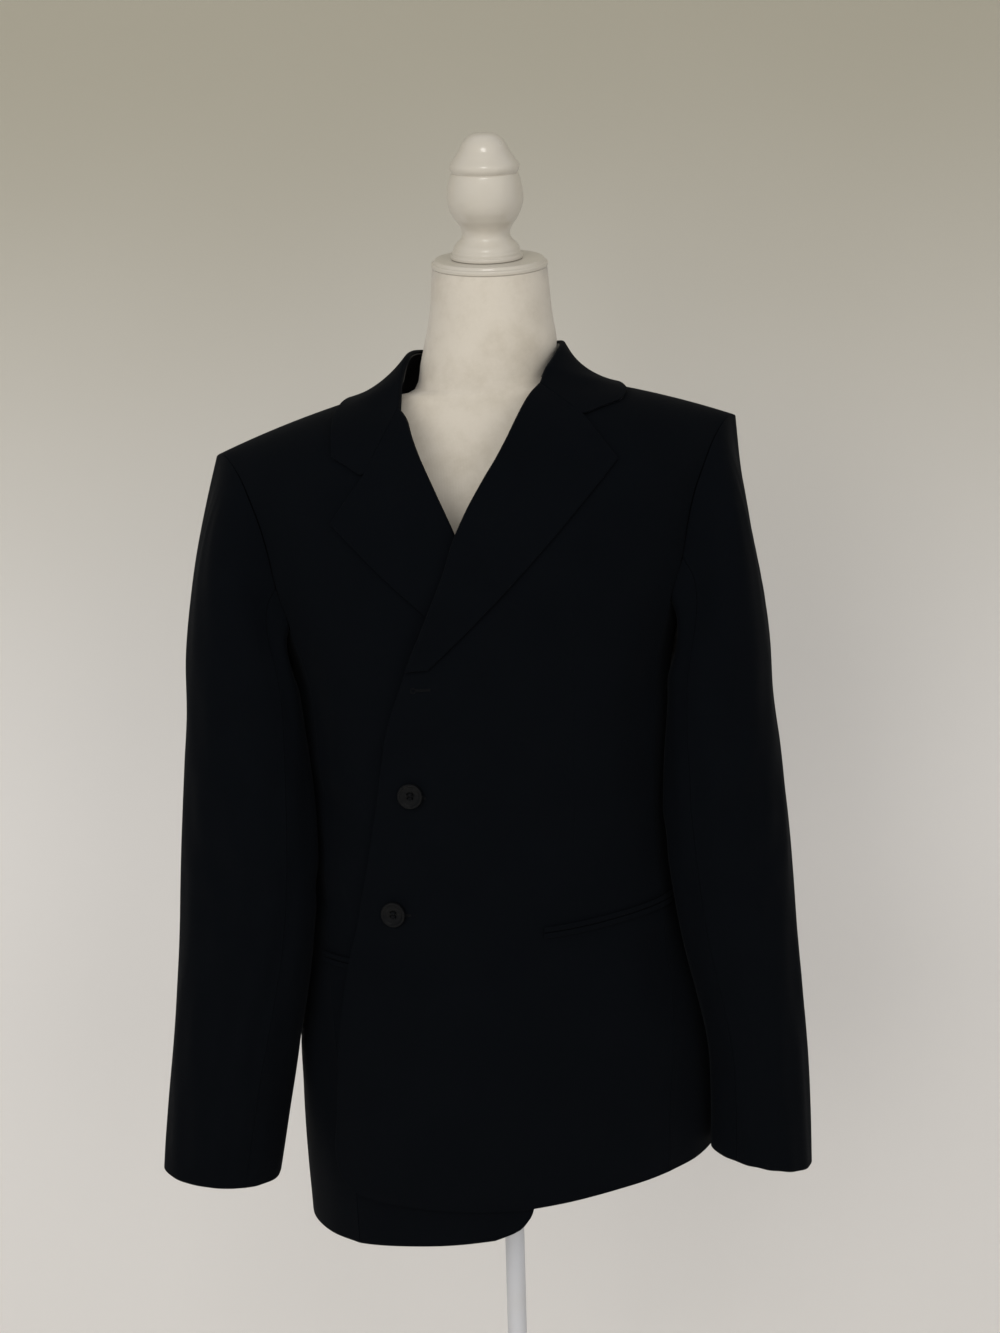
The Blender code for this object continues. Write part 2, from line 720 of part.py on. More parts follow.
NECK_PLATE_ROUND = 2.4 * MM
POLE_RADIUS = 0.0092
BASE_RADIUS = 0.150
BASE_THICK = 0.010
BOSS_RADIUS = 0.022
BOSS_HEIGHT = 0.040
BASE_ROUND = 3.0 * MM
ROUND_PARTS = 32

# The turned finial, (radius, height above the neck plate)
FINIAL_COLUMNS = ("radius", "height")
FINIAL = (
    (0.0315, 0.0000),
    (0.0315, 0.0030),
    (0.0300, 0.0060),
    (0.0290, 0.0090),
    (0.0272, 0.0116),
    (0.0240, 0.0146),
    (0.0216, 0.0176),
    (0.0207, 0.0206),
    (0.0214, 0.0242),
    (0.0236, 0.0283),
    (0.0270, 0.0328),
    (0.0294, 0.0371),
    (0.0312, 0.0414),
    (0.0324, 0.0457),
    (0.0329, 0.0500),
    (0.0327, 0.0543),
    (0.0321, 0.0590),
    (0.0311, 0.0635),
    (0.0298, 0.0675),
    (0.0284, 0.0708),
    (0.0292, 0.0722),
    (0.0299, 0.0745),
    (0.0299, 0.0765),
    (0.0288, 0.0787),
    (0.0272, 0.0808),
    (0.0251, 0.0836),
    (0.0234, 0.0862),
    (0.0212, 0.0892),
    (0.0198, 0.0922),
    (0.0180, 0.0950),
    (0.0156, 0.0976),
    (0.0118, 0.1008),
    (0.0040, 0.1028),
)


# ---- Building solids ---------------------------------------------------------------------------

def material(name, colour, roughness, metallic=0.0):
    """A plain Principled material."""
    made = bpy.data.materials.new(name)
    made.use_nodes = True
    shader = made.node_tree.nodes["Principled BSDF"]
    shader.inputs["Base Color"].default_value = (*colour, 1.0)
    shader.inputs["Roughness"].default_value = roughness
    shader.inputs["Metallic"].default_value = metallic
    return made


WOOL = material("black_wool", (0.006, 0.0065, 0.007), 0.85)
HORN = material("dark_button", (0.012, 0.012, 0.014), 0.35)
JERSEY = material("ivory_jersey", (0.62, 0.56, 0.47), 0.9)
GLOSS_WHITE = material("white_lacquer", (0.66, 0.60, 0.50), 0.25)
WHITE_STEEL = material("white_steel", (0.60, 0.60, 0.60), 0.4)


def add_object(name, points, faces, finish, smooth_angle=40):
    """A closed mesh object with its faces pointing out."""
    mesh = bpy.data.meshes.new(name)
    mesh.from_pydata([tuple(p) for p in points], [], faces)
    work = bmesh.new()
    work.from_mesh(mesh)
    bmesh.ops.recalc_face_normals(work, faces=work.faces)
    work.to_mesh(mesh)
    work.free()
    mesh.materials.append(finish)
    mesh.shade_smooth()
    mesh.set_sharp_from_angle(angle=math.radians(smooth_angle))
    made = bpy.data.objects.new(name, mesh)
    bpy.context.scene.collection.objects.link(made)
    return made


def grid_normals(grid, middle):
    """Directions square to a grid, pointing away from the middle points."""
    along = np.gradient(grid, axis=1)
    across = np.gradient(grid, axis=0)
    square = np.cross(along, across)
    square /= np.maximum(np.linalg.norm(square, axis=2, keepdims=True), 1e-12)
    return square if (square * (grid - middle)).sum() > 0 else -square


def wall_faces(rows, columns):
    """Faces of a closed wall between an outer and an inner grid."""
    count = rows * columns
    faces = []
    for i in range(rows - 1):
        for j in range(columns - 1):
            a = i * columns + j
            faces.append((a, a + 1, a + columns + 1, a + columns))
            faces.append((count + a, count + a + columns, count + a + columns + 1, count + a + 1))
    rim = [j for j in range(columns)]
    rim += [i * columns + columns - 1 for i in range(1, rows)]
    rim += [(rows - 1) * columns + j for j in range(columns - 2, -1, -1)]
    rim += [i * columns for i in range(rows - 2, 0, -1)]
    for k, here in enumerate(rim):
        there = rim[(k + 1) % len(rim)]
        faces.append((here, count + here, count + there, there))
    return faces


def hang(grid):
    """The coat's slump: its right side hangs lower."""
    grid = np.array(grid, dtype=float)
    grid[..., 2] += SLUMP * grid[..., 0]
    return grid


def draw_in(grid, gap):
    """Pull a panel's four edges in by half the seam gap."""
    moved = grid.copy()
    for edge, inner in ((0, 1), (-1, -2)):
        step = grid[inner] - grid[edge]
        moved[edge] += step / np.linalg.norm(step, axis=1, keepdims=True) * gap / 2
        step = grid[:, inner] - grid[:, edge]
        moved[:, edge] += step / np.linalg.norm(step, axis=1, keepdims=True) * gap / 2
    return moved


def body_middle(grid):
    """Points on the coat's own upright axis beside each grid point."""
    middle = grid.copy()
    middle[..., 0] = section(UNDERARM, "centre")
    middle[..., 1] = 0.0
    return middle


def sleeve_middle(grid):
    """The middle of each of a sleeve's rings."""
    return np.repeat(grid.mean(axis=1, keepdims=True), grid.shape[1], axis=1)


def coat_body():
    """Grids of the fronts, backs and side panels, with their outward directions."""
    grids = {
        "front_left": hang(front_grid(FRONT_LEFT_EDGE, True, True)),
        "front_right": hang(front_grid(FRONT_RIGHT_EDGE, False, False)),
        "back_left": hang(back_grid(True)),
        "back_right": hang(back_grid(False)),
        "side_panel_left": hang(side_grid(True)),
        "side_panel_right": hang(side_grid(False)),
    }
    directions = {name: grid_normals(grid, body_middle(grid)) for name, grid in grids.items()}
    for name in ("front_left", "front_right", "back_left", "back_right"):
        across = np.gradient(grids[name][-1], axis=0)
        upright = np.stack((-across[:, 2], np.zeros(len(across)), across[:, 0]), axis=1)
        upright *= np.sign(upright[:, 2:])
        upright /= np.linalg.norm(upright, axis=1, keepdims=True)
        first = BACK_NECK_COLUMNS if name.startswith("back") else 0
        directions[name][-1, first:] = upright[first:]
    return grids, directions


def coat_sleeves(grids):
    """Grids of the four sleeve pieces, with their outward directions."""
    pieces = {}
    directions = {}
    for side, table, sign in (("left", SLEEVE_LEFT, 1), ("right", SLEEVE_RIGHT, -1)):
        parts = [grids[panel + side] for panel in ("front_", "side_panel_", "back_")]
        whole = sleeve_grid(table, sign, armhole_loop(*parts))
        square = grid_normals(whole, sleeve_middle(whole))
        from_back = (np.arange(SLEEVE_AROUND + 1) + BACK_SLEEVE_SEAM) % SLEEVE_AROUND
        upper = from_back[:SLEEVE_AROUND - BACK_SLEEVE_SEAM + FRONT_SLEEVE_SEAM + 1]
        under = np.arange(FRONT_SLEEVE_SEAM, BACK_SLEEVE_SEAM + 1)
        for name, picked in (("upper", upper), ("under", under)):
            pieces[f"sleeve_{side}_{name}"] = whole[:, picked]
            directions[f"sleeve_{side}_{name}"] = square[:, picked]
    return pieces, directions


EDGE_EASE = 1.4 * SEAM_GAP
FOLD_TURN = 0.55
FOLD_TOP = UNDERARM + 0.02
FOLD_EASE = 0.5 * MM


def share_seams(grids, directions):
    """Where panels meet at a ridge, both walls take one direction, so their edges are parallel.

    Where they meet in a fold, as under the arm, each keeps its own, and the sleeve steps aside.
    """
    rims = []
    for name, grid in grids.items():
        rows, columns = grid.shape[:2]
        for i in range(rows):
            for j in range(columns):
                if i in (0, rows - 1) or j in (0, columns - 1):
                    rims.append((name, i, j))
    tree = kdtree.KDTree(len(rims))
    for k, (name, i, j) in enumerate(rims):
        tree.insert(grids[name][i, j], k)
    tree.balance()
    shared = {name: direction.copy() for name, direction in directions.items()}
    nudges = {name: np.zeros_like(grid) for name, grid in grids.items()}
    for name, i, j in rims:
        body_way = np.zeros(3)
        sleeve_way = np.zeros(3)
        for _, hit, _ in tree.find_range(grids[name][i, j], SEAM_TOUCH):
            other, k, m = rims[hit]
            if other.startswith("sleeve"):
                sleeve_way += directions[other][k, m]
            else:
                body_way += directions[other][k, m]
        if name.startswith("sleeve") and i == 0:
            down = grids[name][1, j] - grids[name][0, j]
            nudges[name][i, j] = down / np.linalg.norm(down) * ARMHOLE_EASE
        way = body_way + sleeve_way
        size = np.linalg.norm(body_way) * np.linalg.norm(sleeve_way)
        low = grids[name][i, j][2] < FOLD_TOP
        if low and size > 0 and body_way @ sleeve_way < FOLD_TURN * size:
            way = sleeve_way if name.startswith("sleeve") else body_way
            if name.startswith("sleeve"):
                nudges[name][i, j] -= way / np.linalg.norm(way) * FOLD_EASE
            elif name.startswith("side"):
                down = grids[name][i - 1, j] - grids[name][i, j]
                nudges[name][i, j] = down / np.linalg.norm(down) * FOLD_EASE
        shared[name][i, j] = way / np.linalg.norm(way)
    return shared, nudges


def cloth(name, grid, direction, wall=WALL, finish=None):
    """A cloth wall behind a grid of points."""
    rows, columns = grid.shape[:2]
    outer = draw_in(grid, EDGE_EASE)
    inner = outer - direction * wall
    points = np.concatenate((outer.reshape(-1, 3), inner.reshape(-1, 3)))
    return add_object(name, points, wall_faces(rows, columns), finish or WOOL)


def turned(name, profile, finish, around=ROUND_PARTS):
    """A turned solid: rings of (radius, height) with flat ends."""
    points = []
    for radius, height in profile:
        for k in range(around):
            turn = 2 * math.pi * k / around
            points.append((radius * math.cos(turn), radius * math.sin(turn), height))
    faces = []
    for i in range(len(profile) - 1):
        for k in range(around):
            a, b = i * around + k, i * around + (k + 1) % around
            faces.append((a, b, b + around, a + around))
    faces.append(tuple(range(around))[::-1])
    last = (len(profile) - 1) * around
    faces.append(tuple(range(last, last + around)))
    return add_object(name, points, faces, finish)


def rounded_disc(radius, thick, edge):
    """Profile of a flat disc with a rounded rim."""
    profile = [(radius - edge, 0.0)]
    for k in range(1, 4):
        turn = math.pi / 2 * k / 3
        profile.append((radius - edge + edge * math.sin(turn), edge - edge * math.cos(turn)))
    for k in range(4):
        turn = math.pi / 2 * k / 3
        place = (radius - edge + edge * math.cos(turn), thick - edge + edge * math.sin(turn))
        profile.append(place)
    return profile


def build_form():
    """Torso with its neck, flange plate, finial, pole and base."""
    points = []
    for height, centre, half_width, front, back, slant, roundness in FORM:
        power = 2 / roundness
        lean = math.tan(NECK_TILT) * slant
        for k in range(FORM_AROUND):
            turn = 2 * math.pi * k / FORM_AROUND
            c, s = math.cos(turn), math.sin(turn)
            x = centre + half_width * math.copysign(abs(c) ** power, c)
            y = (back if s > 0 else front) * math.copysign(abs(s) ** power, s)
            points.append((x, y, height + y * lean))
    faces = []
    for i in range(len(FORM) - 1):
        for k in range(FORM_AROUND):
            a, b = i * FORM_AROUND + k, i * FORM_AROUND + (k + 1) % FORM_AROUND
            faces.append((a, b, b + FORM_AROUND, a + FORM_AROUND))
    faces.append(tuple(range(FORM_AROUND))[::-1])
    last = (len(FORM) - 1) * FORM_AROUND
    faces.append(tuple(range(last, last + FORM_AROUND)))
    add_object("form_torso", points, faces, JERSEY)

    plate = turned("neck_plate", rounded_disc(NECK_PLATE_RADIUS, NECK_PLATE_THICK, NECK_PLATE_ROUND),
                   GLOSS_WHITE)
    finial = turned("finial", FINIAL, GLOSS_WHITE)
    up = np.array((0, -math.sin(NECK_TILT), math.cos(NECK_TILT)))
    seat = np.array((0, 0, NECK_TOP)) + up * SEAM_GAP
    plate.rotation_euler.x = NECK_TILT
    plate.location = seat
    finial.rotation_euler.x = NECK_TILT
    finial.location = seat + up * (NECK_PLATE_THICK + SEAM_GAP) + np.array((FINIAL_ASIDE, 0, 0))

    torso_low = FORM[0][0]
    base_profile = rounded_disc(BASE_RADIUS, BASE_THICK, BASE_ROUND)
    base_profile += [(BOSS_RADIUS, BASE_THICK), (BOSS_RADIUS, BOSS_HEIGHT - BASE_ROUND),
                     (BOSS_RADIUS - BASE_ROUND, BOSS_HEIGHT)]
    turned("base_disc", base_profile, WHITE_STEEL)
    turned("pole", [(POLE_RADIUS, BOSS_HEIGHT + SEAM_GAP), (POLE_RADIUS, torso_low - SEAM_GAP)],
           WHITE_STEEL)


def build_buttons():
    """Four-hole buttons with a raised rim, lying on the outer front."""
    for name, x, height in BUTTONS:
        disc = turned(name, [
            (BUTTON_RADIUS - 0.0012, 0.0),
            (BUTTON_RADIUS, 0.0012),
            (BUTTON_RADIUS, BUTTON_THICK - 0.0008),
            (BUTTON_RADIUS - 0.0009, BUTTON_THICK),
            (BUTTON_RADIUS - 0.0022, BUTTON_THICK),
            (BUTTON_WELL, BUTTON_THICK - 0.0012),
        ], HORN, 24)
        cutter = turned(name + "_holes", [(BUTTON_HOLE, -0.002), (BUTTON_HOLE, 0.008)], HORN, 8)
        one = cutter.data.copy()
        work = bmesh.new()
        for k in range(4):
            turn = math.pi / 4 + math.pi / 2 * k
            offset = (BUTTON_HOLE_OUT * math.cos(turn), BUTTON_HOLE_OUT * math.sin(turn), 0)
            first = len(work.verts)
            work.from_mesh(one)
            work.verts.ensure_lookup_table()
            for vertex in work.verts[first:]:
                vertex.co.x += offset[0]
                vertex.co.y += offset[1]
        work.to_mesh(cutter.data)
        work.free()
        cutter.hide_render = True
        cutter.display_type = "WIRE"
        holes = disc.modifiers.new("holes", "BOOLEAN")
        holes.operation = "DIFFERENCE"
        holes.solver = "EXACT"
        holes.object = cutter
        level = level_at(x, height)
        seat = wrap_lift(x, level) + BUTTON_SEAT
        here = hang(on_front(x, height, seat))
        square = hang(on_front(x, height, seat + 0.01)) - here
        square /= np.linalg.norm(square)
        for placed in (disc, cutter):
            placed.location = here
            placed.rotation_euler = (math.acos(square[2]), 0, math.atan2(square[0], -square[1]))


def build_coat():
    """Every cloth piece of the coat."""
    grids, directions = coat_body()
    sleeves, sleeve_directions = coat_sleeves(grids)
    grids.update(sleeves)
    directions.update(sleeve_directions)
    shared, nudges = share_seams(grids, directions)
    for name, grid in grids.items():
        cloth(name, grid + nudges[name], shared[name])

    layered = {
        "lapel_left": lapel_grid(FRONT_LEFT_EDGE, GORGE_LEFT, NOTCH_LEFT, LAPEL_CORNER_LEFT,
                                 BREAK_LEFT, LAPEL_BELLY_LEFT, wrap_lift),
        "lapel_right": lapel_grid(FRONT_RIGHT_EDGE, GORGE_RIGHT, NOTCH_RIGHT,
                                  LAPEL_CORNER_RIGHT, BREAK_RIGHT, LAPEL_BELLY_RIGHT, flat,
                                  V_POINT),
        "collar_leaf": leaf_grid(),
        "collar_stand": stand_grid(),
    }
    layered = {name: hang(grid) for name, grid in layered.items()}
    layered_ways = {name: grid_normals(grid, body_middle(grid)) for name, grid in layered.items()}
    layered_ways, _ = share_seams(layered, layered_ways)
    for name, grid in layered.items():
        cloth(name, grid, layered_ways[name])
    for pocket, lift in zip(POCKETS, (wrap_lift, flat)):
        for part, upper in (("_upper_jet", True), ("_lower_jet", False)):
            grid = hang(jet_grid(pocket, upper, lift))
            cloth(pocket[0] + part, grid, grid_normals(grid, body_middle(grid)), JET_WALL)


build_form()
build_coat()
build_buttons()
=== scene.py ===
"""Black asymmetric double-breasted blazer hanging on a limbless dress form.

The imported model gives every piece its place. The coat hangs from the torso's shoulders and
nothing moves, so every piece rides on the one body, root. "Left" is the wearer's left, at +X.
"""

import math

import bmesh
import bpy
import numpy as np
from mathutils import Matrix, Vector, kdtree
from mathutils.bvhtree import BVHTree


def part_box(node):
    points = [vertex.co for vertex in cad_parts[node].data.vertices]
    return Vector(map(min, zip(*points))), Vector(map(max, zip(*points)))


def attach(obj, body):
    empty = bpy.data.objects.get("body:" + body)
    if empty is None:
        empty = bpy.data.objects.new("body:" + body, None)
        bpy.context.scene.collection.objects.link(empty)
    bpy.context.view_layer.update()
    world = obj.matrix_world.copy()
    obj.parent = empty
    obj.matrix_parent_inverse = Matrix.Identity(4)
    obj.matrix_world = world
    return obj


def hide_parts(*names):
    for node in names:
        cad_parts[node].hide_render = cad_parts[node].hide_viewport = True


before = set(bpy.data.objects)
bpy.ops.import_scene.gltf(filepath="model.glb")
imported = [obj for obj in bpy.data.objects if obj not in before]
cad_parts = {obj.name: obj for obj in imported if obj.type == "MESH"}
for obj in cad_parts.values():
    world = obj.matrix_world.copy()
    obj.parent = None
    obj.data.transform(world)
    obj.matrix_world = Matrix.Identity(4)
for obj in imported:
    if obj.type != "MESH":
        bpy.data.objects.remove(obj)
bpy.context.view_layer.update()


# ---- Base and pole ---------------------------------------------------------------------------
# A pressed steel disc with a short boss, and a steel tube that drops into the boss and holds
# the torso. Both are powder-coated white, so the corners are soft and the coat is faintly pebbled.

MM = 0.001
# A profile to be turned is rows of radius, height and rounding, in metres
BASE_CORNERS = (
    (0.0, 0.0, 0.0),
    (0.150, 0.0, 0.0020),
    (0.150, 0.010, 0.0042),
    (0.026, 0.0105, 0.0),
    (0.022, 0.0150, 0.0040),
    (0.022, 0.040, 0.0030),
    (0.0125, 0.040, 0.0),
    (0.0, 0.040, 0.0),
)
POLE_ROUNDING = 0.6 * MM
POLE_SIDES = 64
TURNED_SIDES = 96
SHARP_DEGREES = 35
WELD_GAP = 0.01 * MM
NEAR_Y = 0.8


def unit(ways):
    """The same directions, each made one long."""
    return ways / np.linalg.norm(ways, axis=-1, keepdims=True)


def welded(node):
    """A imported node's merged points and its triangles."""
    work = bmesh.new()
    work.from_mesh(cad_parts[node].data)
    bmesh.ops.remove_doubles(work, verts=work.verts, dist=WELD_GAP)
    work.verts.index_update()
    points = np.array([vertex.co[:] for vertex in work.verts])
    triangles = [tuple(vertex.index for vertex in face.verts) for face in work.faces]
    work.free()
    return points, triangles


def standing(node, way):
    """Where a turned node stands: the middle of its lower end and its axis, pointing along way."""
    points, _ = welded(node)
    middle = points.mean(axis=0)
    spread, axes = np.linalg.eigh(np.cov((points - middle).T))
    lone = 0 if spread[1] - spread[0] > spread[2] - spread[1] else 2
    axis = axes[:, lone] * np.sign(axes[:, lone] @ np.array(way))
    return middle + axis * ((points - middle) @ axis).min(), axis


def eased(corners, steps=6):
    """A profile to be turned, with its corners rounded."""
    path = []
    for k, (radius, height, ease) in enumerate(corners):
        here = np.array((radius, height))
        if ease == 0:
            path.append(here)
            continue
        before = np.array(corners[k - 1][:2]) - here
        after = np.array(corners[k + 1][:2]) - here
        start = here + unit(before) * ease
        end = here + unit(after) * ease
        for s in range(steps + 1):
            f = s / steps
            path.append(start * (1 - f) ** 2 + here * 2 * f * (1 - f) + end * f * f)
    return path


def keep_mesh(name, points, faces, finishes):
    """A new smooth object at the origin from points and faces."""
    mesh = bpy.data.meshes.new(name)
    mesh.from_pydata([tuple(point) for point in points], [], faces)
    for finish in finishes:
        mesh.materials.append(finish)
    mesh.shade_smooth()
    made = bpy.data.objects.new(name, mesh)
    bpy.context.scene.collection.objects.link(made)
    return made


def ring_faces(rings, sides):
    """The faces of a closed solid of stacked rings: its sides, its foot and its top."""
    faces = []
    for i in range(rings - 1):
        for k in range(sides):
            a, b = i * sides + k, i * sides + (k + 1) % sides
            faces.append((a, b, b + sides, a + sides))
    faces.append(tuple(range(sides))[::-1])
    faces.append(tuple(range((rings - 1) * sides, rings * sides)))
    return faces


def turned(name, profile, foot, axis, finish, sides=TURNED_SIDES, sharp=SHARP_DEGREES):
    """A turned solid standing on its foot, with its axis along the given direction."""
    off_axis = (0.0, 1.0, 0.0) if abs(axis[1]) < NEAR_Y else (1.0, 0.0, 0.0)
    aside = unit(np.cross(axis, off_axis))
    ahead = np.cross(axis, aside)
    turns = np.arange(sides) * 2 * math.pi / sides
    rim = np.outer(np.cos(turns), aside) + np.outer(np.sin(turns), ahead)
    rows = [row for row in profile if row[0] > 0]
    points = np.concatenate([foot + rim * radius + axis * height for radius, height in rows])
    made = keep_mesh(name, points, ring_faces(len(rows), sides), [finish])
    made.data.set_sharp_from_angle(angle=math.radians(sharp))
    return made


class Value:
    """One socket in a finish's nodes, for use in ordinary sums."""

    def __init__(self, finish, socket):
        self.finish = finish
        self.socket = socket

    def sum(self, operation, left, right):
        return self.finish.node("ShaderNodeMath", {"operation": operation}, {0: left, 1: right})

    def __add__(self, other):
        return self.sum("ADD", self, other)

    def __radd__(self, other):
        return self.sum("ADD", other, self)

    def __sub__(self, other):
        return self.sum("SUBTRACT", self, other)

    def __rsub__(self, other):
        return self.sum("SUBTRACT", other, self)

    def __mul__(self, other):
        return self.sum("MULTIPLY", self, other)

    def __rmul__(self, other):
        return self.sum("MULTIPLY", other, self)

    def wave(self):
        """The sine of an angle."""
        return self.finish.node("ShaderNodeMath", {"operation": "SINE"}, {0: self})


class Finish:
    """A finish being mixed: its material, its shader and the nodes that feed it."""

    def __init__(self, name, **constants):
        self.material = bpy.data.materials.new(name)
        self.material.use_nodes = True
        self.tree = self.material.node_tree
        self.shader = self.tree.nodes["Principled BSDF"]
        for words, value in constants.items():
            socket = words.replace("_", " ").title().replace("Ior", "IOR")
            self.shader.inputs[socket].default_value = value

    def node(self, kind, settings=None, values=None, out=0):
        """A node with its settings made first, then its sockets' values or links."""
        made = self.tree.nodes.new(kind)
        for word, setting in (settings or {}).items():
            setattr(made, word, setting)
        for socket, value in (values or {}).items():
            if isinstance(value, Value):
                self.tree.links.new(value.socket, made.inputs[socket])
            else:
                made.inputs[socket].default_value = value
        return Value(self, made.outputs[out])

    def feed(self, socket, value):
        """Link a value to one of the shader's sockets."""
        self.tree.links.new(value.socket, self.shader.inputs[socket])

    def place(self, name=None):
        """Where a point lies: object coordinates, or the piece's own UV map in metres."""
        if name is None:
            return self.node("ShaderNodeTexCoord", out="Object")
        return self.node("ShaderNodeUVMap", {"uv_map": name})

    def parts(self, where):
        """The three numbers of a place, each as a value."""
        made = self.node("ShaderNodeSeparateXYZ", None, {0: where}).socket.node
        return [Value(self, made.outputs[letter]) for letter in "XYZ"]

    def drawn_out(self, where, upright):
        """A place scaled up or down along Z, so that a pattern on it is drawn out or squeezed."""
        return self.node("ShaderNodeMapping", None, {"Vector": where, "Scale": (1.0, 1.0, upright)})

    def cloud(self, where, size, detail=3.0, rough=0.5):
        """Soft random patches of about a given size in metres, 0 to 1."""
        return self.node("ShaderNodeTexNoise", None, {
            "Vector": where, "Scale": 1 / size, "Detail": detail, "Roughness": rough})

    def between(self, share, low, high):
        """A colour between two."""
        low, high = (end if isinstance(end, Value) else (*end, 1.0) for end in (low, high))
        return self.node("ShaderNodeMix", {"data_type": "RGBA"},
                         {"Factor": share, 6: low, 7: high}, out=2)

    def step(self, value, low, high):
        """0 below low, 1 above high, smooth between."""
        return self.node("ShaderNodeMapRange", {"interpolation_type": "SMOOTHSTEP"}, {
            "Value": value, "From Min": low, "From Max": high, "To Min": 0.0, "To Max": 1.0})

    def relief(self, height, depth, strength):
        """Small relief from a height of 0 to 1, depth in metres."""
        self.feed("Normal", self.node("ShaderNodeBump", None, {
            "Height": height, "Distance": depth, "Strength": strength}, out="Normal"))


def powder_coat(name, colour, worn):
    """White powder coat on steel: faintly pebbled, with a few duller patches."""
    finish = Finish(name, roughness=0.36, ior=1.5)
    where = finish.place()
    patches = finish.cloud(where, size=0.09, detail=4.0)
    pebble = finish.cloud(where, size=0.0011, detail=2.0)
    finish.feed("Base Color", finish.between(finish.step(patches, 0.35, 0.72), colour, worn))
    finish.feed("Roughness", 0.30 + patches * 0.16)
    finish.relief(pebble, depth=0.00006, strength=0.6)
    return finish.material


def rooted(piece, slot, *nodes):
    """The piece rides on the root body and stands for its nodes; the slot is not used."""
    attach(piece, "root")
    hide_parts(*nodes)
    return piece


WHITE_COAT = powder_coat("white_powder_coat", (0.523, 0.528, 0.547), (0.49, 0.485, 0.48))

foot, upward = standing("base_disc", (0, 0, 1))
rooted(turned("base_plate", eased(BASE_CORNERS), foot, upward, WHITE_COAT),
       "white_steel", "base_disc")

pole_low, pole_high = (np.array(corner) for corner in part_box("pole"))
pole_radius = (pole_high[0] - pole_low[0]) / 2
pole_length = pole_high[2] - pole_low[2]
POLE_CORNERS = (
    (0.0, 0.0, 0.0),
    (pole_radius, 0.0, POLE_ROUNDING),
    (pole_radius, pole_length, POLE_ROUNDING),
    (0.0, pole_length, 0.0),
)
rooted(turned("pole_tube", eased(POLE_CORNERS), np.array((0, 0, pole_low[2])), upward,
              WHITE_COAT, POLE_SIDES), "white_steel", "pole")


# ---- Torso -----------------------------------------------------------------------------------
# A moulded foam torso in a tight cover of ivory cotton jersey, drawn in under the neck plate. The
# knit is fine and a little grubby, and painted shade darkens it in a band just under the plate.

TORSO_CELL = 7.0 * MM
TORSO_LAP = 4
SAME_HEIGHT = 0.1 * MM
SAME_TURN = 1e-4
JERSEY_WALE = 1.1 * MM
JERSEY_COURSE = 0.9 * MM
LOOP_SLOPE = 0.9
# The heights between which painted shade darkens the jersey just under the neck plate
PLATE_SHADE_FROM = 1.486
PLATE_SHADE_TO = 1.506
TORSO_SHARP_DEGREES = 60


def drawn(points, stations, at):
    """Smooth curves through rows of points, read at new stations."""
    slopes = np.gradient(points, stations, axis=0)
    k = np.clip(np.searchsorted(stations, at, side="right") - 1, 0, len(stations) - 2)
    step = (stations[k + 1] - stations[k])[:, None, None]
    f = (at - stations[k])[:, None, None] / step
    low = 2 * f**3 - 3 * f**2 + 1
    return (low * points[k] + (1 - low) * points[k + 1]
            + step * ((f**3 - 2 * f**2 + f) * slopes[k] + (f**3 - f**2) * slopes[k + 1]))


def run_of(grid, axis):
    """Mean distance along a grid's rows (axis 0) or columns (axis 1), from 0."""
    steps = np.linalg.norm(np.diff(grid, axis=axis), axis=2).mean(axis=1 - axis)
    return np.concatenate(([0.0], np.cumsum(steps)))


def rings_of(node):
    """The stacked rings of points of a closed node, from its foot up, each from +X round."""
    points, triangles = welded(node)
    near = {i: set() for i in range(len(points))}
    for triangle in triangles:
        for i in triangle:
            near[i].update(triangle)
    ring = set(np.flatnonzero(points[:, 2] < points[:, 2].min() + SAME_HEIGHT))
    taken = set()
    rings = []
    while ring:
        order = sorted(ring, key=lambda i: math.atan2(points[i, 1], points[i, 0]) % (2 * math.pi))
        if abs(math.atan2(points[order[-1], 1], points[order[-1], 0])) < SAME_TURN:
            order = order[-1:] + order[:-1]
        rings.append(points[order])
        taken |= ring
        ring = set().union(*(near[i] for i in ring)) - taken
    return np.array(rings)


def smooth_torso():
    """The torso's rings with many more between them, and the flat UV of its jersey tube."""
    rings = rings_of("form_torso")
    up = run_of(rings, 0)
    rows = drawn(rings, up, np.linspace(0, up[-1], int(up[-1] / TORSO_CELL)))
    lapped = (rows[:, -TORSO_LAP:], rows, rows[:, :TORSO_LAP + 1])
    around = np.concatenate(lapped, axis=1).swapaxes(0, 1)
    turn = run_of(around, 0)
    start, end = turn[TORSO_LAP], turn[-TORSO_LAP - 1]
    count = int((end - start) / TORSO_CELL)
    fine = drawn(around, turn, np.linspace(start, end, count + 1)[:-1]).swapaxes(0, 1)
    return fine, end - start, up[-1]


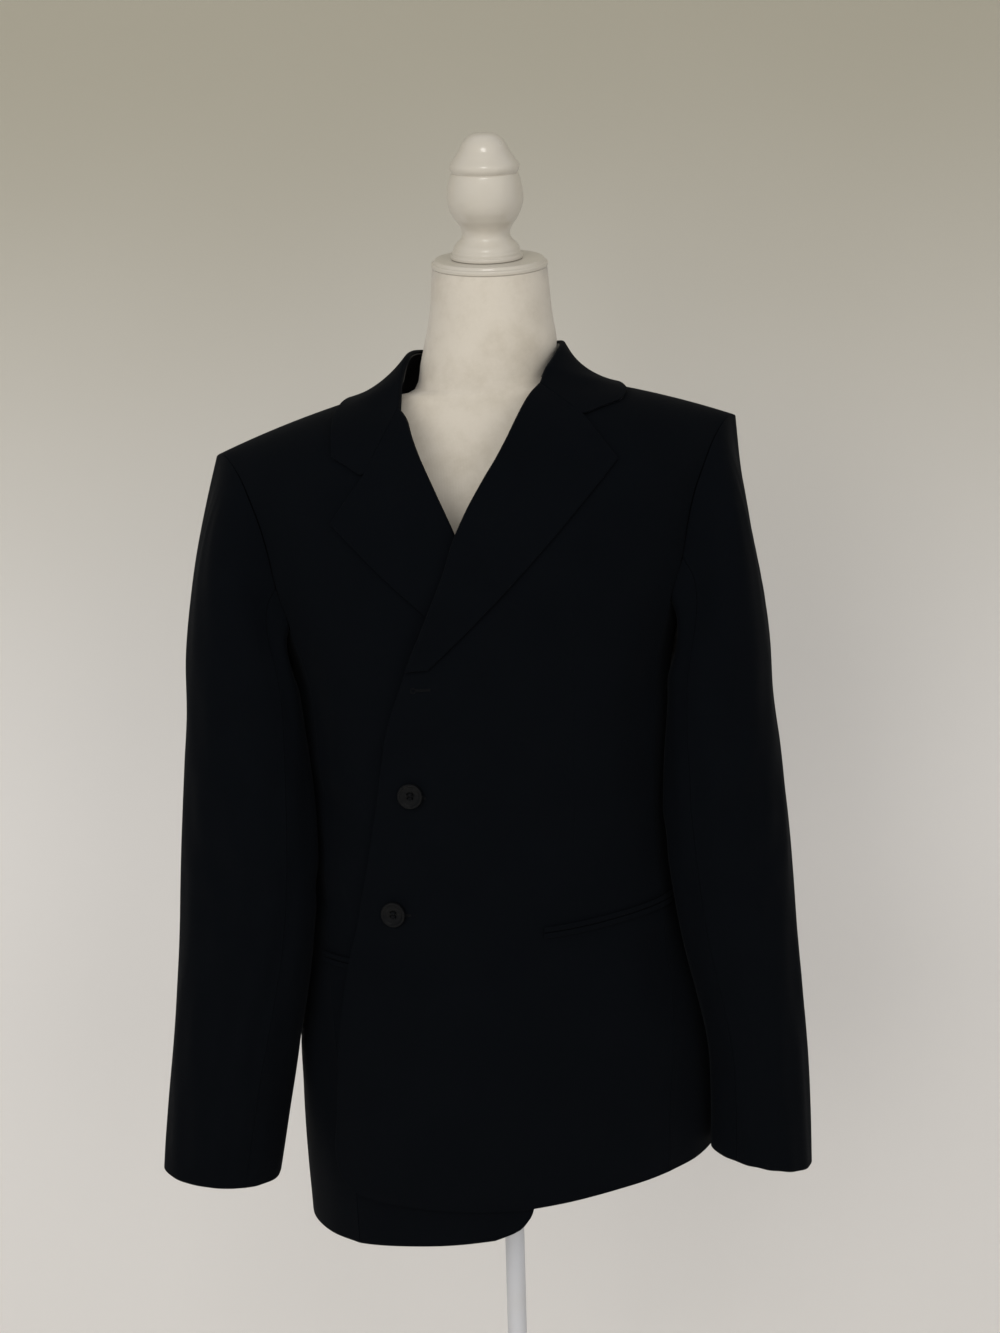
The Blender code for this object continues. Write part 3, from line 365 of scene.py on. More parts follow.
def knit_jersey():
    """Ivory jersey: columns of small V loops, fuzz, soft soiling, and painted shade under the
    plate.
    """
    finish = Finish("ivory_jersey_knit", roughness=0.92, sheen_weight=0.18, sheen_roughness=0.5)
    flat, tall, _ = finish.parts(finish.place("knit"))
    where = finish.place()
    height = finish.parts(where)[2]
    wale = (flat * (2 * math.pi / JERSEY_WALE)).wave()
    leg = finish.node("ShaderNodeMath", {"operation": "PINGPONG"}, {0: flat, 1: JERSEY_WALE / 2})
    loop = ((tall + leg * LOOP_SLOPE) * (2 * math.pi / JERSEY_COURSE)).wave()
    fuzz = finish.cloud(where, size=0.0022, detail=4.0, rough=0.7)
    soil = finish.cloud(where, size=0.055, detail=5.0, rough=0.6)
    mottle = finish.cloud(where, size=0.016, detail=4.0, rough=0.65)
    # Painted shade: the jersey turns greyer in a band just under the neck plate
    plate_shade = finish.step(height + mottle * 0.012, PLATE_SHADE_FROM, PLATE_SHADE_TO) * 0.75
    worn = finish.step(soil * 0.6 + mottle * 0.4, 0.40, 0.68)
    clean = finish.between(worn, (0.552, 0.504, 0.427), (0.475, 0.427, 0.35))
    with_plate_shade = finish.between(plate_shade, clean, (0.395, 0.365, 0.315))
    dusty = finish.between(fuzz, (0.93, 0.92, 0.90), (1.0, 1.0, 1.0))
    tint = finish.node("ShaderNodeMix", {"data_type": "RGBA", "blend_type": "MULTIPLY"},
                       {"Factor": 1.0, 6: with_plate_shade, 7: dusty}, out=2)
    finish.feed("Base Color", tint)
    finish.feed("Roughness", 0.86 + fuzz * 0.12)
    finish.relief(wale * 0.25 + loop * 0.2 + fuzz * 0.5, depth=0.00012, strength=0.55)
    return finish.material


def closed_rings(name, grid, finish, flat, map_name):
    """A closed body from stacked rings, with a flat UV map in metres."""
    rows, columns = grid.shape[:2]
    made = keep_mesh(name, grid.reshape(-1, 3), ring_faces(rows, columns), [finish])
    layer = made.data.uv_layers.new(name=map_name)
    width, height = flat
    for polygon in made.data.polygons:
        ends = [made.data.loops[k].vertex_index for k in polygon.loop_indices]
        last = max(i % columns for i in ends) == columns - 1
        for k, i in zip(polygon.loop_indices, ends):
            turn = columns if last and i % columns == 0 else i % columns
            layer.data[k].uv = (turn / columns * width, i // columns / (rows - 1) * height)
    made.data.set_sharp_from_angle(angle=math.radians(TORSO_SHARP_DEGREES))
    return made


torso_grid, torso_round, torso_tall = smooth_torso()
torso = closed_rings("torso_jersey", torso_grid, knit_jersey(), (torso_round, torso_tall), "knit")
rooted(torso, "ivory_jersey", "form_torso")


# ---- Neck plate and finial -------------------------------------------------------------------
# A stepped wooden cap plate on the neck, and a lathe-turned acorn finial screwed to it. Both are
# sprayed in thick white lacquer, which rounds the beads and shines softly.

PLATE_CORNERS = (
    (0.0, -0.00025, 0.0),
    (0.0507, -0.00025, 0.0002),
    (0.0512, 0.0004, 0.0003),
    (0.0512, 0.0034, 0.0013),
    (0.0491, 0.0040, 0.0006),
    (0.0480, 0.0065, 0.0013),
    (0.0, 0.0065, 0.0),
)
FINIAL_CORNERS = (
    (0.0, 0.0, 0.0),
    (0.0315, 0.0, 0.0008),
    (0.0315, 0.0030, 0.0013),
    (0.0301, 0.0036, 0.0006),
    (0.0299, 0.0062, 0.0010),
    (0.0291, 0.0070, 0.0),
)
# The smooth curves of the acorn's body and cap are rows of radius and height
FINIAL_BODY = (
    (0.0290, 0.0086), (0.0272, 0.0116), (0.0240, 0.0146), (0.0216, 0.0176),
    (0.0207, 0.0206), (0.0214, 0.0242), (0.0236, 0.0283), (0.0270, 0.0328),
    (0.0294, 0.0371), (0.0312, 0.0414), (0.0324, 0.0457), (0.0329, 0.0500),
    (0.0327, 0.0543), (0.0321, 0.0590), (0.0311, 0.0635), (0.0299, 0.0675),
    (0.0289, 0.0700),
)
FINIAL_CAP = (
    (0.0282, 0.0706), (0.0288, 0.0718), (0.0297, 0.0736), (0.0300, 0.0757),
    (0.0294, 0.0777), (0.0277, 0.0802), (0.0252, 0.0834), (0.0233, 0.0862),
    (0.0212, 0.0892), (0.0198, 0.0922), (0.0180, 0.0950), (0.0156, 0.0976),
    (0.0118, 0.1006), (0.0070, 0.1023), (0.0008, 0.1028),
)
FINIAL_BODY_RINGS = 44
FINIAL_CAP_RINGS = 36
LACQUER_SHARP_DEGREES = 70


def through(table, count):
    """A smooth profile through a table of (radius, height)."""
    rows = np.array(table)[:, None, :]
    along = run_of(np.concatenate((rows, np.zeros_like(rows[..., :1])), axis=2), 0)
    return [tuple(row[0]) for row in drawn(rows, along, np.linspace(0, along[-1], count))]


def lacquer(name, colour, shaded):
    """Thick sprayed lacquer: soft orange peel under a clear shine."""
    finish = Finish(name, roughness=0.30, ior=1.5, coat_weight=0.55, coat_roughness=0.10)
    where = finish.place()
    drift = finish.cloud(where, size=0.03)
    peel = finish.cloud(where, size=0.004, detail=1.0)
    finish.feed("Base Color", finish.between(drift, colour, shaded))
    finish.feed("Roughness", 0.24 + drift * 0.14)
    finish.relief(peel, depth=0.00008, strength=0.5)
    return finish.material


LACQUER = lacquer("white_lacquer_gloss", (0.494, 0.456, 0.389), (0.466, 0.427, 0.355))

FINIAL_PROFILE = (eased(FINIAL_CORNERS) + through(FINIAL_BODY, FINIAL_BODY_RINGS)
                  + through(FINIAL_CAP, FINIAL_CAP_RINGS))

for name, profile, node in (("neck_cap_plate", eased(PLATE_CORNERS), "neck_plate"),
                            ("acorn_finial", FINIAL_PROFILE, "finial")):
    foot, upward = standing(node, (0, 0, 1))
    rooted(turned(name, profile, foot, upward, LACQUER, sharp=LACQUER_SHARP_DEGREES),
           "white_lacquer", node)


# ---- Coat body -------------------------------------------------------------------------------
# Two fronts, two side panels and two backs cut from black worsted twill and sewn edge to edge,
# lined with black satin. The outer front wraps over the under front; its dart is pressed flat.

WALL = 2.0 * MM
# A point's partner across the wall is looked for this far off, and fits this closely, in walls
WALL_SEEK = 1.02
WALL_SLACK = 0.004
CELL = 3.8 * MM
# How round each kind of edge is, up to this share of the wall
EDGE_ROLLS = {"seam": 0.55 * MM, "free": 0.95 * MM, "none": 0.0}
EDGE_ROLL_MOST = 0.475
SEAM_REACH = 0.17 * MM
# How far in the points next to an edge lie, within this share of the way across the cloth
EDGE_PLACES = (0.0, 0.25 * MM, 0.6 * MM, 1.1 * MM, 1.8 * MM, 2.8 * MM)
EDGE_SHARE = 0.4
# How much longer a grid's threads may be than those of the straightest reading of its triangles
TRUE_GRID = 1.001
COAT_AXIS = (-0.016, 0.0)
COAT_OVAL = (0.180, 0.115)
# Outward tilts up this much, so that on the shoulders the upper face counts as the outer one
COAT_TILT = 0.3
COAT_GIRTH = 0.95
# The coat hangs lower on the wearer's right: its levels rise this much for each metre to the left
SLUMP = 0.051
TWILL = 1.0 * MM
RIB_SLOPE = 1.6
PICK_SLOPE = 0.55
PICK_PITCH = 0.7 * TWILL
DART_PRESS = 1.6 * MM
FAR_FROM_DART = 1.0

# A panel's node, the rows and columns of points it was packed with, about where the first point
# lies, and what its first row, last row, first column and last column are
BODY_PANELS = (
    ("front_left", 24, 13, (-0.15, -0.12, 0.66), ("free", "seam", "free", "seam")),
    ("front_right", 24, 13, (0.02, -0.12, 0.64), ("free", "seam", "free", "seam")),
    ("side_panel_left", 15, 7, (0.14, -0.10, 0.65), ("free", "seam", "seam", "seam")),
    ("side_panel_right", 15, 7, (-0.14, -0.10, 0.60), ("free", "seam", "seam", "seam")),
    ("back_left", 24, 12, (-0.002, 0.11, 0.60), ("free", "seam", "seam", "seam")),
    ("back_right", 24, 12, (-0.002, 0.11, 0.60), ("free", "seam", "seam", "seam")),
)

# A fold's turn and height at one end, its turn and height at the other, and its width, depth and
# bow. Turns are degrees from the middle front towards the wearer's left, and a depth is in
# millimetres, with a negative one standing out; the rest is in metres
BODY_FOLDS = (
    (-58, 1.165, -47, 1.015, 0.017, 2.4, 0.010),
    (-47, 1.205, -40, 1.090, 0.015, 1.6, -0.006),
    (55, 1.175, 44, 1.020, 0.018, 2.3, -0.010),
    (46, 1.215, 38, 1.100, 0.014, 1.4, 0.006),
    (-34, 1.052, -6, 1.104, 0.013, 1.5, 0.008),
    (-30, 1.050, 8, 1.040, 0.012, 1.2, -0.006),
    (-36, 1.045, -58, 1.066, 0.013, 1.8, 0.005),
    (-36, 0.952, -10, 0.912, 0.015, 1.6, -0.008),
    (-40, 0.950, -60, 0.978, 0.014, 1.7, 0.004),
    (-52, 0.905, -50, 0.700, 0.024, 2.6, 0.008),
    (-24, 0.860, -27, 0.668, 0.026, 1.8, -0.006),
    (-2, 0.880, -6, 0.700, 0.028, -1.6, 0.004),
    (22, 0.860, 25, 0.700, 0.026, 2.0, 0.006),
    (52, 0.915, 55, 0.715, 0.025, 3.0, -0.008),
    (30, 0.928, 58, 0.936, 0.010, 1.3, 0.003),
    (78, 1.010, 88, 0.960, 0.016, 1.5, 0.0),
    (-80, 1.020, -92, 0.968, 0.016, 1.5, 0.0),
    (150, 1.230, 158, 1.040, 0.020, 2.6, 0.008),
    (-150, 1.235, -160, 1.030, 0.021, 2.9, -0.008),
    (128, 1.200, 140, 1.000, 0.017, 2.2, -0.006),
    (-130, 1.190, -139, 1.010, 0.017, 2.0, 0.006),
    (118, 0.998, 168, 1.012, 0.011, 1.8, -0.007),
    (-172, 0.985, -120, 1.004, 0.012, 2.0, 0.006),
    (134, 0.955, 172, 0.964, 0.010, 1.3, 0.005),
    (-165, 1.040, -128, 1.052, 0.010, 1.2, 0.004),
    (148, 0.930, 143, 0.690, 0.028, 3.2, 0.008),
    (-150, 0.925, -147, 0.680, 0.028, 3.4, -0.008),
    (112, 0.900, 116, 0.700, 0.022, 2.2, 0.0),
    (-114, 0.900, -112, 0.690, 0.022, 2.4, 0.0),
    (172, 0.860, 170, 0.680, 0.020, -1.8, 0.0),
    (160, 1.345, 142, 1.290, 0.014, 1.4, 0.004),
    (-160, 1.340, -143, 1.290, 0.014, 1.4, -0.004),
)
# A fold fades in between these shares of its length from each end. The cloth rises in a lip at
# both its sides; the lip's place and width are in fold widths, and its height in fold depths
FOLD_FADE = (-0.18, 0.22)
FOLD_LIP_PLACE = 1.7
FOLD_LIP_WIDTH = 0.8
FOLD_LIP_HEIGHT = 0.38
# The heights between which the folds fade out towards the shoulders
FOLDS_STOP = (1.27, 1.36)
# The dart of each front: place across and height of its top, and of its end at the pocket
DARTS = {
    "front_left": ((0.0606, 1.214), (0.0580, 0.944)),
    "front_right": ((-0.1010, 1.190), (-0.0960, 0.915)),
}
RIPPLE_SEED = 41
RIPPLE_COUNT = 9
RIPPLE_DEPTH = 0.26 * MM
RIPPLE_LOBES = (3, 15)
RIPPLE_TALL = (0.10, 0.34)
RIPPLE_TWIST = 6


def next_row(row, used, triangles, at):
    """The row of points after a grid's row and the triangles between them, if there is one."""
    strip = set().union(*(at[i] for i in row)) - used
    beyond = {i for k in strip for i in triangles[k]} - set(row)
    if len(strip) != 2 * (len(row) - 1) or len(beyond) != len(row):
        return None, strip
    near = {i: set() for i in beyond}
    for k in strip:
        pair = [i for i in triangles[k] if i in beyond]
        if len(pair) == 2:
            near[pair[0]].add(pair[1])
            near[pair[1]].add(pair[0])
    first_strip = {i for k in at[row[0]] & strip for i in triangles[k]}
    path = [i for i in beyond if len(near[i]) == 1 and i in first_strip]
    if len(path) != 1:
        return None, strip
    while len(path) < len(row):
        further = near[path[-1]] - set(path)
        if len(further) != 1:
            return None, strip
        path.append(further.pop())
    return path, strip


def triangle_rows(triangles, rows, columns):
    """Every way that loose triangles read as a grid of that many rows and columns."""
    at = {}
    follow = {}
    for k, (a, b, c) in enumerate(triangles):
        for i in (a, b, c):
            at.setdefault(i, set()).add(k)
        for start, end in ((a, b), (b, c), (c, a)):
            follow[(start, end)] = k
    ahead = {a: b for a, b in follow if (b, a) not in follow}
    loop = [next(iter(ahead))]
    while ahead[loop[-1]] != loop[0]:
        loop.append(ahead[loop[-1]])
    found = []
    for rim in (loop, loop[::-1]):
        for start in range(len(rim)):
            grid = [[rim[(start + k) % len(rim)] for k in range(columns)]]
            used = set()
            while len(grid) < rows:
                row, strip = next_row(grid[-1], used, triangles, at)
                if row is None:
                    break
                used |= strip
                grid.append(row)
            if len(grid) == rows and len(used) == len(triangles):
                found.append(grid)
    return found


def outer_face(node, rows, columns, first_corner, wall=WALL, axis=COAT_AXIS, up=COAT_TILT):
    """The outer face of a packed cloth wall as a grid of points, from its first corner."""
    points, triangles = welded(node)
    tree = kdtree.KDTree(len(points))
    for i, point in enumerate(points):
        tree.insert(point, i)
    tree.balance()
    partner = {}
    for i, point in enumerate(points):
        for _, j, gap in tree.find_range(point, wall * WALL_SEEK):
            if abs(gap - wall) < wall * WALL_SLACK:
                partner[i] = j
    walls = [face for face in triangles
             if not any(partner.get(a) == b for a in face for b in face)]
    group = {i: {i} for i in partner}
    for face in walls:
        joined = set().union(*(group[i] for i in face))
        for i in joined:
            group[i] = joined
    sides = {id(members): members for members in group.values() if len(members) > 1}
    best = None
    for members in sides.values():
        picked = list(members)
        off = points[picked] - points[[partner[i] for i in picked]]
        out = points[picked] - np.array((*axis, 0))
        out[:, 2] = up * np.linalg.norm(out[:, :2], axis=1)
        score = (off * out).sum()
        if best is None or score > best[0]:
            best = (score, members)
    outside = [face for face in walls if face[0] in best[1]]
    grids = [points[np.array(grid)] for grid in triangle_rows(outside, rows, columns)]
    threads = [sum(np.linalg.norm(np.diff(grid, axis=axis), axis=2).sum() for axis in (0, 1))
               for grid in grids]
    square = [grid for grid, length in zip(grids, threads) if length < min(threads) * TRUE_GRID]
    return min(square, key=lambda grid: np.linalg.norm(grid[0, 0] - np.array(first_corner)))


def close_places(length, cell=CELL):
    """Places along a length: close together at both ends and even between."""
    ends = np.array([place for place in EDGE_PLACES if place < length * EDGE_SHARE])
    inner = np.linspace(ends[-1], length - ends[-1], max(int(length / cell), 2) + 1)[1:-1]
    return np.concatenate((ends, inner, length - ends[::-1]))


def refined(grid, cell=CELL, down=None):
    """The same face with many more rows and columns; neighbours share the run down their seam."""
    down = run_of(grid, 0) if down is None else down
    across = run_of(grid, 1)
    rows = drawn(grid, down, close_places(down[-1], cell))
    places = close_places(across[-1], cell)
    return drawn(rows.swapaxes(0, 1), across, places).swapaxes(0, 1)


def squares(grid, out_hint):
    """Unit directions square to a grid, on the side of the hint."""
    down = np.gradient(grid, axis=0)
    across = np.gradient(grid, axis=1)
    square = unit(np.cross(across, down))
    if (square * out_hint(grid)).sum() < 0:
        square = -square
    return square


def coat_out(points):
    """Outward directions round the coat's upright axis."""
    out = np.array(points, dtype=float)
    out[..., 0] = (points[..., 0] - COAT_AXIS[0]) / COAT_OVAL[0] ** 2
    out[..., 1] = (points[..., 1] - COAT_AXIS[1]) / COAT_OVAL[1] ** 2
    out[..., 2] = 0.0
    out = unit(out)
    out[..., 2] = COAT_TILT
    return out


def smooth_step(value, low, high):
    """0 below low, 1 above high, smooth between."""
    f = np.clip((value - low) / (high - low), 0, 1)
    return f * f * (3 - 2 * f)


def fold_relief(turn, height, folds, girth):
    """How far the folds push the cloth out at places given by turn (degrees) and height."""
    relief = np.zeros_like(height)
    for turn_a, height_a, turn_b, height_b, width, depth, bow in folds:
        reach = (turn_b - turn_a + 180) % 360 - 180
        along = np.array((reach / 360 * girth, height_b - height_a))
        span = np.linalg.norm(along)
        along /= span
        off = np.stack((((turn - turn_a + 180) % 360 - 180) / 360 * girth, height - height_a), -1)
        f = off @ along / span
        aside = off @ np.array((-along[1], along[0])) - bow * 4 * f * (1 - f)
        taper = smooth_step(f, *FOLD_FADE) * smooth_step(1 - f, *FOLD_FADE)
        cut = np.exp(-(aside / width) ** 2)
        beside = np.abs(aside) - FOLD_LIP_PLACE * width
        lip = np.exp(-(beside / (FOLD_LIP_WIDTH * width)) ** 2)
        relief += taper * depth * MM * (FOLD_LIP_HEIGHT * lip - cut)
    return relief


def ripple(turn, height):
    """Slight unevenness of hanging cloth."""
    random = np.random.default_rng(RIPPLE_SEED)
    relief = np.zeros_like(height)
    for _ in range(RIPPLE_COUNT):
        lobes = random.integers(*RIPPLE_LOBES)
        tall = random.uniform(*RIPPLE_TALL)
        start = random.uniform(0, 2 * math.pi, 2)
        relief += (np.sin(np.radians(turn) * lobes + start[0] + height * RIPPLE_TWIST)
                   * np.cos(height / tall * 2 * math.pi + start[1]))
    return relief * RIPPLE_DEPTH


def body_hang(points):
    """How the body cloth moves from its plain form: its folds, fading out at the shoulders."""
    across = points[..., 0] - COAT_AXIS[0]
    depth = points[..., 1] - COAT_AXIS[1]
    turn = np.degrees(np.arctan2(across / COAT_OVAL[0], -depth / COAT_OVAL[1]))
    height = points[..., 2] - SLUMP * points[..., 0]
    relief = fold_relief(turn, height, BODY_FOLDS, COAT_GIRTH) + ripple(turn, height)
    relief *= 1 - smooth_step(height, *FOLDS_STOP)
    way = coat_out(points)
    way[..., 2] = 0.0
    return way * relief[..., None]


def edge_runs(grid):
    """Each point's distance to the four edges, along the cloth."""
    down = np.linalg.norm(np.diff(grid, axis=0), axis=2)
    across = np.linalg.norm(np.diff(grid, axis=1), axis=2)
    down = np.concatenate((np.zeros((1, grid.shape[1])), np.cumsum(down, axis=0)))
    across = np.concatenate((np.zeros((grid.shape[0], 1)), np.cumsum(across, axis=1)), axis=1)
    return down, down[-1:] - down, across, across[:, -1:] - across


def rolled(distance, radius):
    """How far a rolled edge falls away at a distance from it."""
    inside = np.clip(radius - distance, 0, radius)
    return radius - np.sqrt(radius**2 - inside**2)


def reach_out(grid, edges):
    """Sewn edges pushed the last hair towards their neighbours."""
    moved = grid.copy()
    ways = ((edges[:2], grid, moved), (edges[2:], grid.swapaxes(0, 1), moved.swapaxes(0, 1)))
    for kinds, lines, moved_lines in ways:
        for kind, edge, inner in zip(kinds, (0, -1), (1, -2)):
            if kind == "seam":
                moved_lines[edge] += unit(lines[edge] - lines[inner]) * SEAM_REACH
    return moved


def sewn_piece(node, grid, edges, out_hint=coat_out, wall=WALL, dart=None):
    """A node's closed wall of cloth behind a grid: outer face, lining face and rolled edges."""
    grid = reach_out(grid, edges)
    square = squares(grid, out_hint)
    radii = [min(EDGE_ROLLS[kind], wall * EDGE_ROLL_MOST) for kind in edges]
    fall = np.zeros(grid.shape[:2])
    for run, radius in zip(edge_runs(grid), radii):
        if radius:
            fall = np.maximum(fall, rolled(run, radius))
    outer = grid - square * fall[..., None]
    inner = grid - square * (wall - fall)[..., None]
    rows, columns = grid.shape[:2]
    count = rows * columns
    corner = np.arange(count).reshape(rows, columns)
    a, b = corner[:-1, :-1].ravel(), corner[:-1, 1:].ravel()
    c, d = corner[1:, 1:].ravel(), corner[1:, :-1].ravel()
    front = np.stack((a, b, c, d), axis=1)
    ahead = np.cross(grid[0, 1] - grid[0, 0], grid[1, 0] - grid[0, 0]) @ square[0, 0]
    if ahead < 0:
        front = front[:, ::-1]
    rim = np.array([*corner[0], *corner[1:, -1], *corner[-1, -2::-1], *corner[-2:0:-1, 0]])
    beyond = np.roll(rim, -1)
    side = np.stack((rim, rim + count, beyond + count, beyond), axis=1)
    if ahead < 0:
        side = side[:, ::-1]
    faces = np.concatenate((front, front[:, ::-1] + count, side))
    made = keep_mesh(node + "_cloth", np.concatenate((outer, inner)).reshape(-1, 3),
                     [tuple(int(i) for i in face) for face in faces], CLOTH)
    mesh = made.data
    lining = np.zeros(len(faces), dtype=np.int32)
    lining[len(front):2 * len(front)] = 1
    mesh.polygons.foreach_set("material_index", lining)
    down, across = run_of(grid, 0), run_of(grid, 1)
    flat = np.stack(np.meshgrid(across, down), axis=-1).reshape(-1, 2)
    corners = np.empty(len(mesh.loops), dtype=np.int32)
    mesh.loops.foreach_get("vertex_index", corners)
    layer = mesh.uv_layers.new(name="cut")
    layer.data.foreach_set("uv", flat[corners % count].astype(np.float32).ravel())
    line = mesh.attributes.new("dart", "FLOAT", "POINT")
    away = np.full(count, FAR_FROM_DART) if dart is None else dart.ravel()
    line.data.foreach_set("value", np.tile(away, 2).astype(np.float32))
    a, b, c, d = grid[:-1, :-1], grid[:-1, 1:], grid[1:, 1:], grid[1:, :-1]
    area = np.linalg.norm(np.cross(c - a, d - b), axis=2).sum() / 2
    return rooted(made, "black_wool", node)


def dart_run(grid, ends):
    """Distance of a front's points from its dart line, past its ends far away."""
    (x_top, z_top), (x_low, z_low) = ends
    f = (z_top - grid[..., 2]) / (z_top - z_low)
    off = np.abs(grid[..., 0] - (x_top + (x_low - x_top) * f))
    past = np.clip(np.maximum(-f, f - 1), 0, None) * (z_top - z_low)
    behind = np.where(grid[..., 1] > 0, FAR_FROM_DART, 0.0)
    return off + past + behind


def twill(name, colour, lifted, light):
    """Black worsted: fine diagonal ribs, soft nap and a little depth in the dye."""
    finish = Finish(name, roughness=0.85, specular_ior_level=0.04, sheen_weight=0.025,
                    sheen_roughness=0.42, sheen_tint=(light * 0.86, light * 0.92, light, 1.0))
    across, down, _ = finish.parts(finish.place("cut"))
    where = finish.place()
    nap = finish.cloud(where, size=0.0016, detail=5.0, rough=0.65)
    wander = finish.cloud(where, size=0.05)
    rib = ((across * RIB_SLOPE + down) * (2 * math.pi / TWILL) + nap * 1.5).wave()
    pick = ((across - down * PICK_SLOPE) * (2 * math.pi / PICK_PITCH)).wave()
    lint = finish.step(finish.cloud(where, size=0.006, detail=2.0, rough=0.8), 0.70, 0.86)
    dye = finish.between(wander * 0.55 + rib * 0.12 + 0.22, colour, lifted)
    finish.feed("Base Color", finish.between(lint * 0.2, dye, (0.012, 0.013, 0.015)))
    finish.feed("Roughness", 0.78 + nap * 0.16)
    dart = finish.node("ShaderNodeAttribute", {"attribute_name": "dart"}, out="Fac")
    pressed = finish.step(dart, 0.0, DART_PRESS)
    weave = rib * 0.10 + pick * 0.05 + nap * 0.30
    finish.relief(weave + pressed * 2.2, depth=0.00030, strength=0.55)
    return finish.material


def satin(name):
    """Black satin lining, smooth with a soft streaky shine."""
    finish = Finish(name, roughness=0.38, specular_ior_level=0.4)
    streak = finish.cloud(finish.drawn_out(finish.place(), 0.12), size=0.004)
    dye = finish.between(streak, (0.006, 0.0065, 0.008), (0.010, 0.011, 0.013))
    finish.feed("Base Color", dye)
    finish.feed("Roughness", 0.32 + streak * 0.14)
    finish.relief(streak, depth=0.00006, strength=0.5)
    return finish.material


WORSTED = twill("black_worsted", (0.0012, 0.0016, 0.0023), (0.0022, 0.0028, 0.0038), 0.5)
LINING = satin("black_satin_lining")
CLOTH = (WORSTED, LINING)

LAPEL_ROLL = 3.7 * MM
LAPEL_LIFT_OFF = 0.012
LAPEL_CLEAR = 0.12 * MM
BREAK_HEIGHT = {"front_left": 1.163, "front_right": 1.150}


def row_points(grid, starts, cell=CELL):
    """A fine grid read again from a new start along each row, given in metres."""
    along = edge_runs(grid)[2]
    share = close_places(along[:, -1].mean(), cell)
    share /= share[-1]
    rows = []
    for line, run, start in zip(grid, along, starts):
        at = start + (run[-1] - start) * share
        rows.append([np.interp(at, run, line[:, k]) for k in range(3)])
    return np.array(rows).swapaxes(1, 2)


def front_face(node, grid, down):
    """A front's fine face, its edge drawn back above the break to meet the turned lapel."""
    fine = refined(grid, down=down)
    height = fine[:, 0, 2] - SLUMP * fine[:, 0, 0]
    opened = smooth_step(height - BREAK_HEIGHT[node], 0, LAPEL_LIFT_OFF)
    return row_points(fine, (LAPEL_ROLL + LAPEL_CLEAR) * opened)


coat_grids = {node: outer_face(node, rows, columns, first_corner)
              for node, rows, columns, first_corner, _ in BODY_PANELS}
most_rows = max(len(grid) for grid in coat_grids.values())
seam_run = np.mean([run_of(grid, 0) for grid in coat_grids.values() if len(grid) == most_rows],
                   axis=0)
for node, rows, columns, first_corner, edges in BODY_PANELS:
    grid = coat_grids[node]
    run = seam_run[:len(grid)]
    is_front = node.startswith("front")
    face = front_face(node, grid, run) if is_front else refined(grid, down=run)
    dart = dart_run(face, DARTS[node]) if is_front else None
    piece = sewn_piece(node, face + body_hang(face), edges, dart=dart)
    not is_front


# ---- Sleeves ---------------------------------------------------------------------------------
# Two-piece sleeves: an upper and an under cut, seamed at the front and the back of the arm and
# set into the armhole with a little ease. They hang empty and break softly at the elbow.

SLEEVE_GIRTH = 0.33
# How far below the armhole the sleeve's own folds take over from the body's, in metres of cloth
SLEEVE_HEAD_FADE = (0.004, 0.075)
# The rows of the sleeve head, which are left out of the sleeve's middle line
HEAD_ROWS = 6
# The same as the body's folds, but the turn is from the arm's outer side towards its front
SLEEVE_FOLDS = {
    "left": (
        (48, 1.036, 116, 0.994, 0.012, 1.7, 0.006),
        (44, 0.984, 108, 0.950, 0.011, 1.3, -0.004),
        (70, 1.092, 124, 1.040, 0.012, 1.4, 0.004),
        (150, 0.992, 214, 1.014, 0.013, 1.6, 0.004),
        (78, 0.912, 94, 0.775, 0.016, 1.3, 0.005),
        (-62, 0.940, -40, 0.790, 0.020, 1.2, -0.004),
        (196, 1.105, 172, 0.900, 0.018, 1.6, 0.004),
        (36, 0.900, 34, 0.730, 0.022, -0.8, 0.0),
        (-92, 1.060, -120, 0.980, 0.014, 1.4, 0.004),
    ),
    "right": (
        (46, 1.024, 112, 0.974, 0.013, 1.8, -0.005),
        (52, 0.970, 112, 0.932, 0.011, 1.2, 0.004),
        (66, 1.100, 122, 1.050, 0.012, 1.3, -0.004),
        (148, 0.975, 212, 0.996, 0.013, 1.7, -0.004),
        (74, 0.900, 92, 0.760, 0.017, 1.5, -0.005),
        (-64, 0.930, -42, 0.780, 0.020, 1.2, 0.005),
        (200, 1.095, 174, 0.890, 0.018, 1.6, -0.004),
        (34, 0.890, 32, 0.720, 0.024, -0.9, 0.0),
        (-90, 1.050, -122, 0.968, 0.014, 1.4, -0.004),
    ),
}
# How high each sleeve's inner side swells towards the coat below the armhole, and by how much
UNDERARM_SWELL = {"left": (1.137, 4.0 * MM), "right": (1.176, 3.5 * MM)}
SWELL_TALL = 0.016
SWELL_DEGREES = 55
SWELL_FADE = (0.002, 0.014)
# A cut's side, that side's sign along X, its name, its rows and columns of points, and about
# where its first point lies
SLEEVE_PANELS = (
    ("left", 1, "upper", 15, 16, (0.19, 0.10, 1.30)),
    ("left", 1, "under", 15, 10, (0.17, -0.10, 1.25)),
    ("right", -1, "upper", 15, 16, (-0.21, 0.10, 1.28)),
    ("right", -1, "under", 15, 10, (-0.19, -0.10, 1.22)),
)


def sleeve_axis(side):
    """Middle of a sleeve in plan, from its two packed cuts."""
    low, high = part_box(f"sleeve_{side}_upper")
    return ((low[0] + high[0]) / 2, (low[1] + high[1]) / 2)


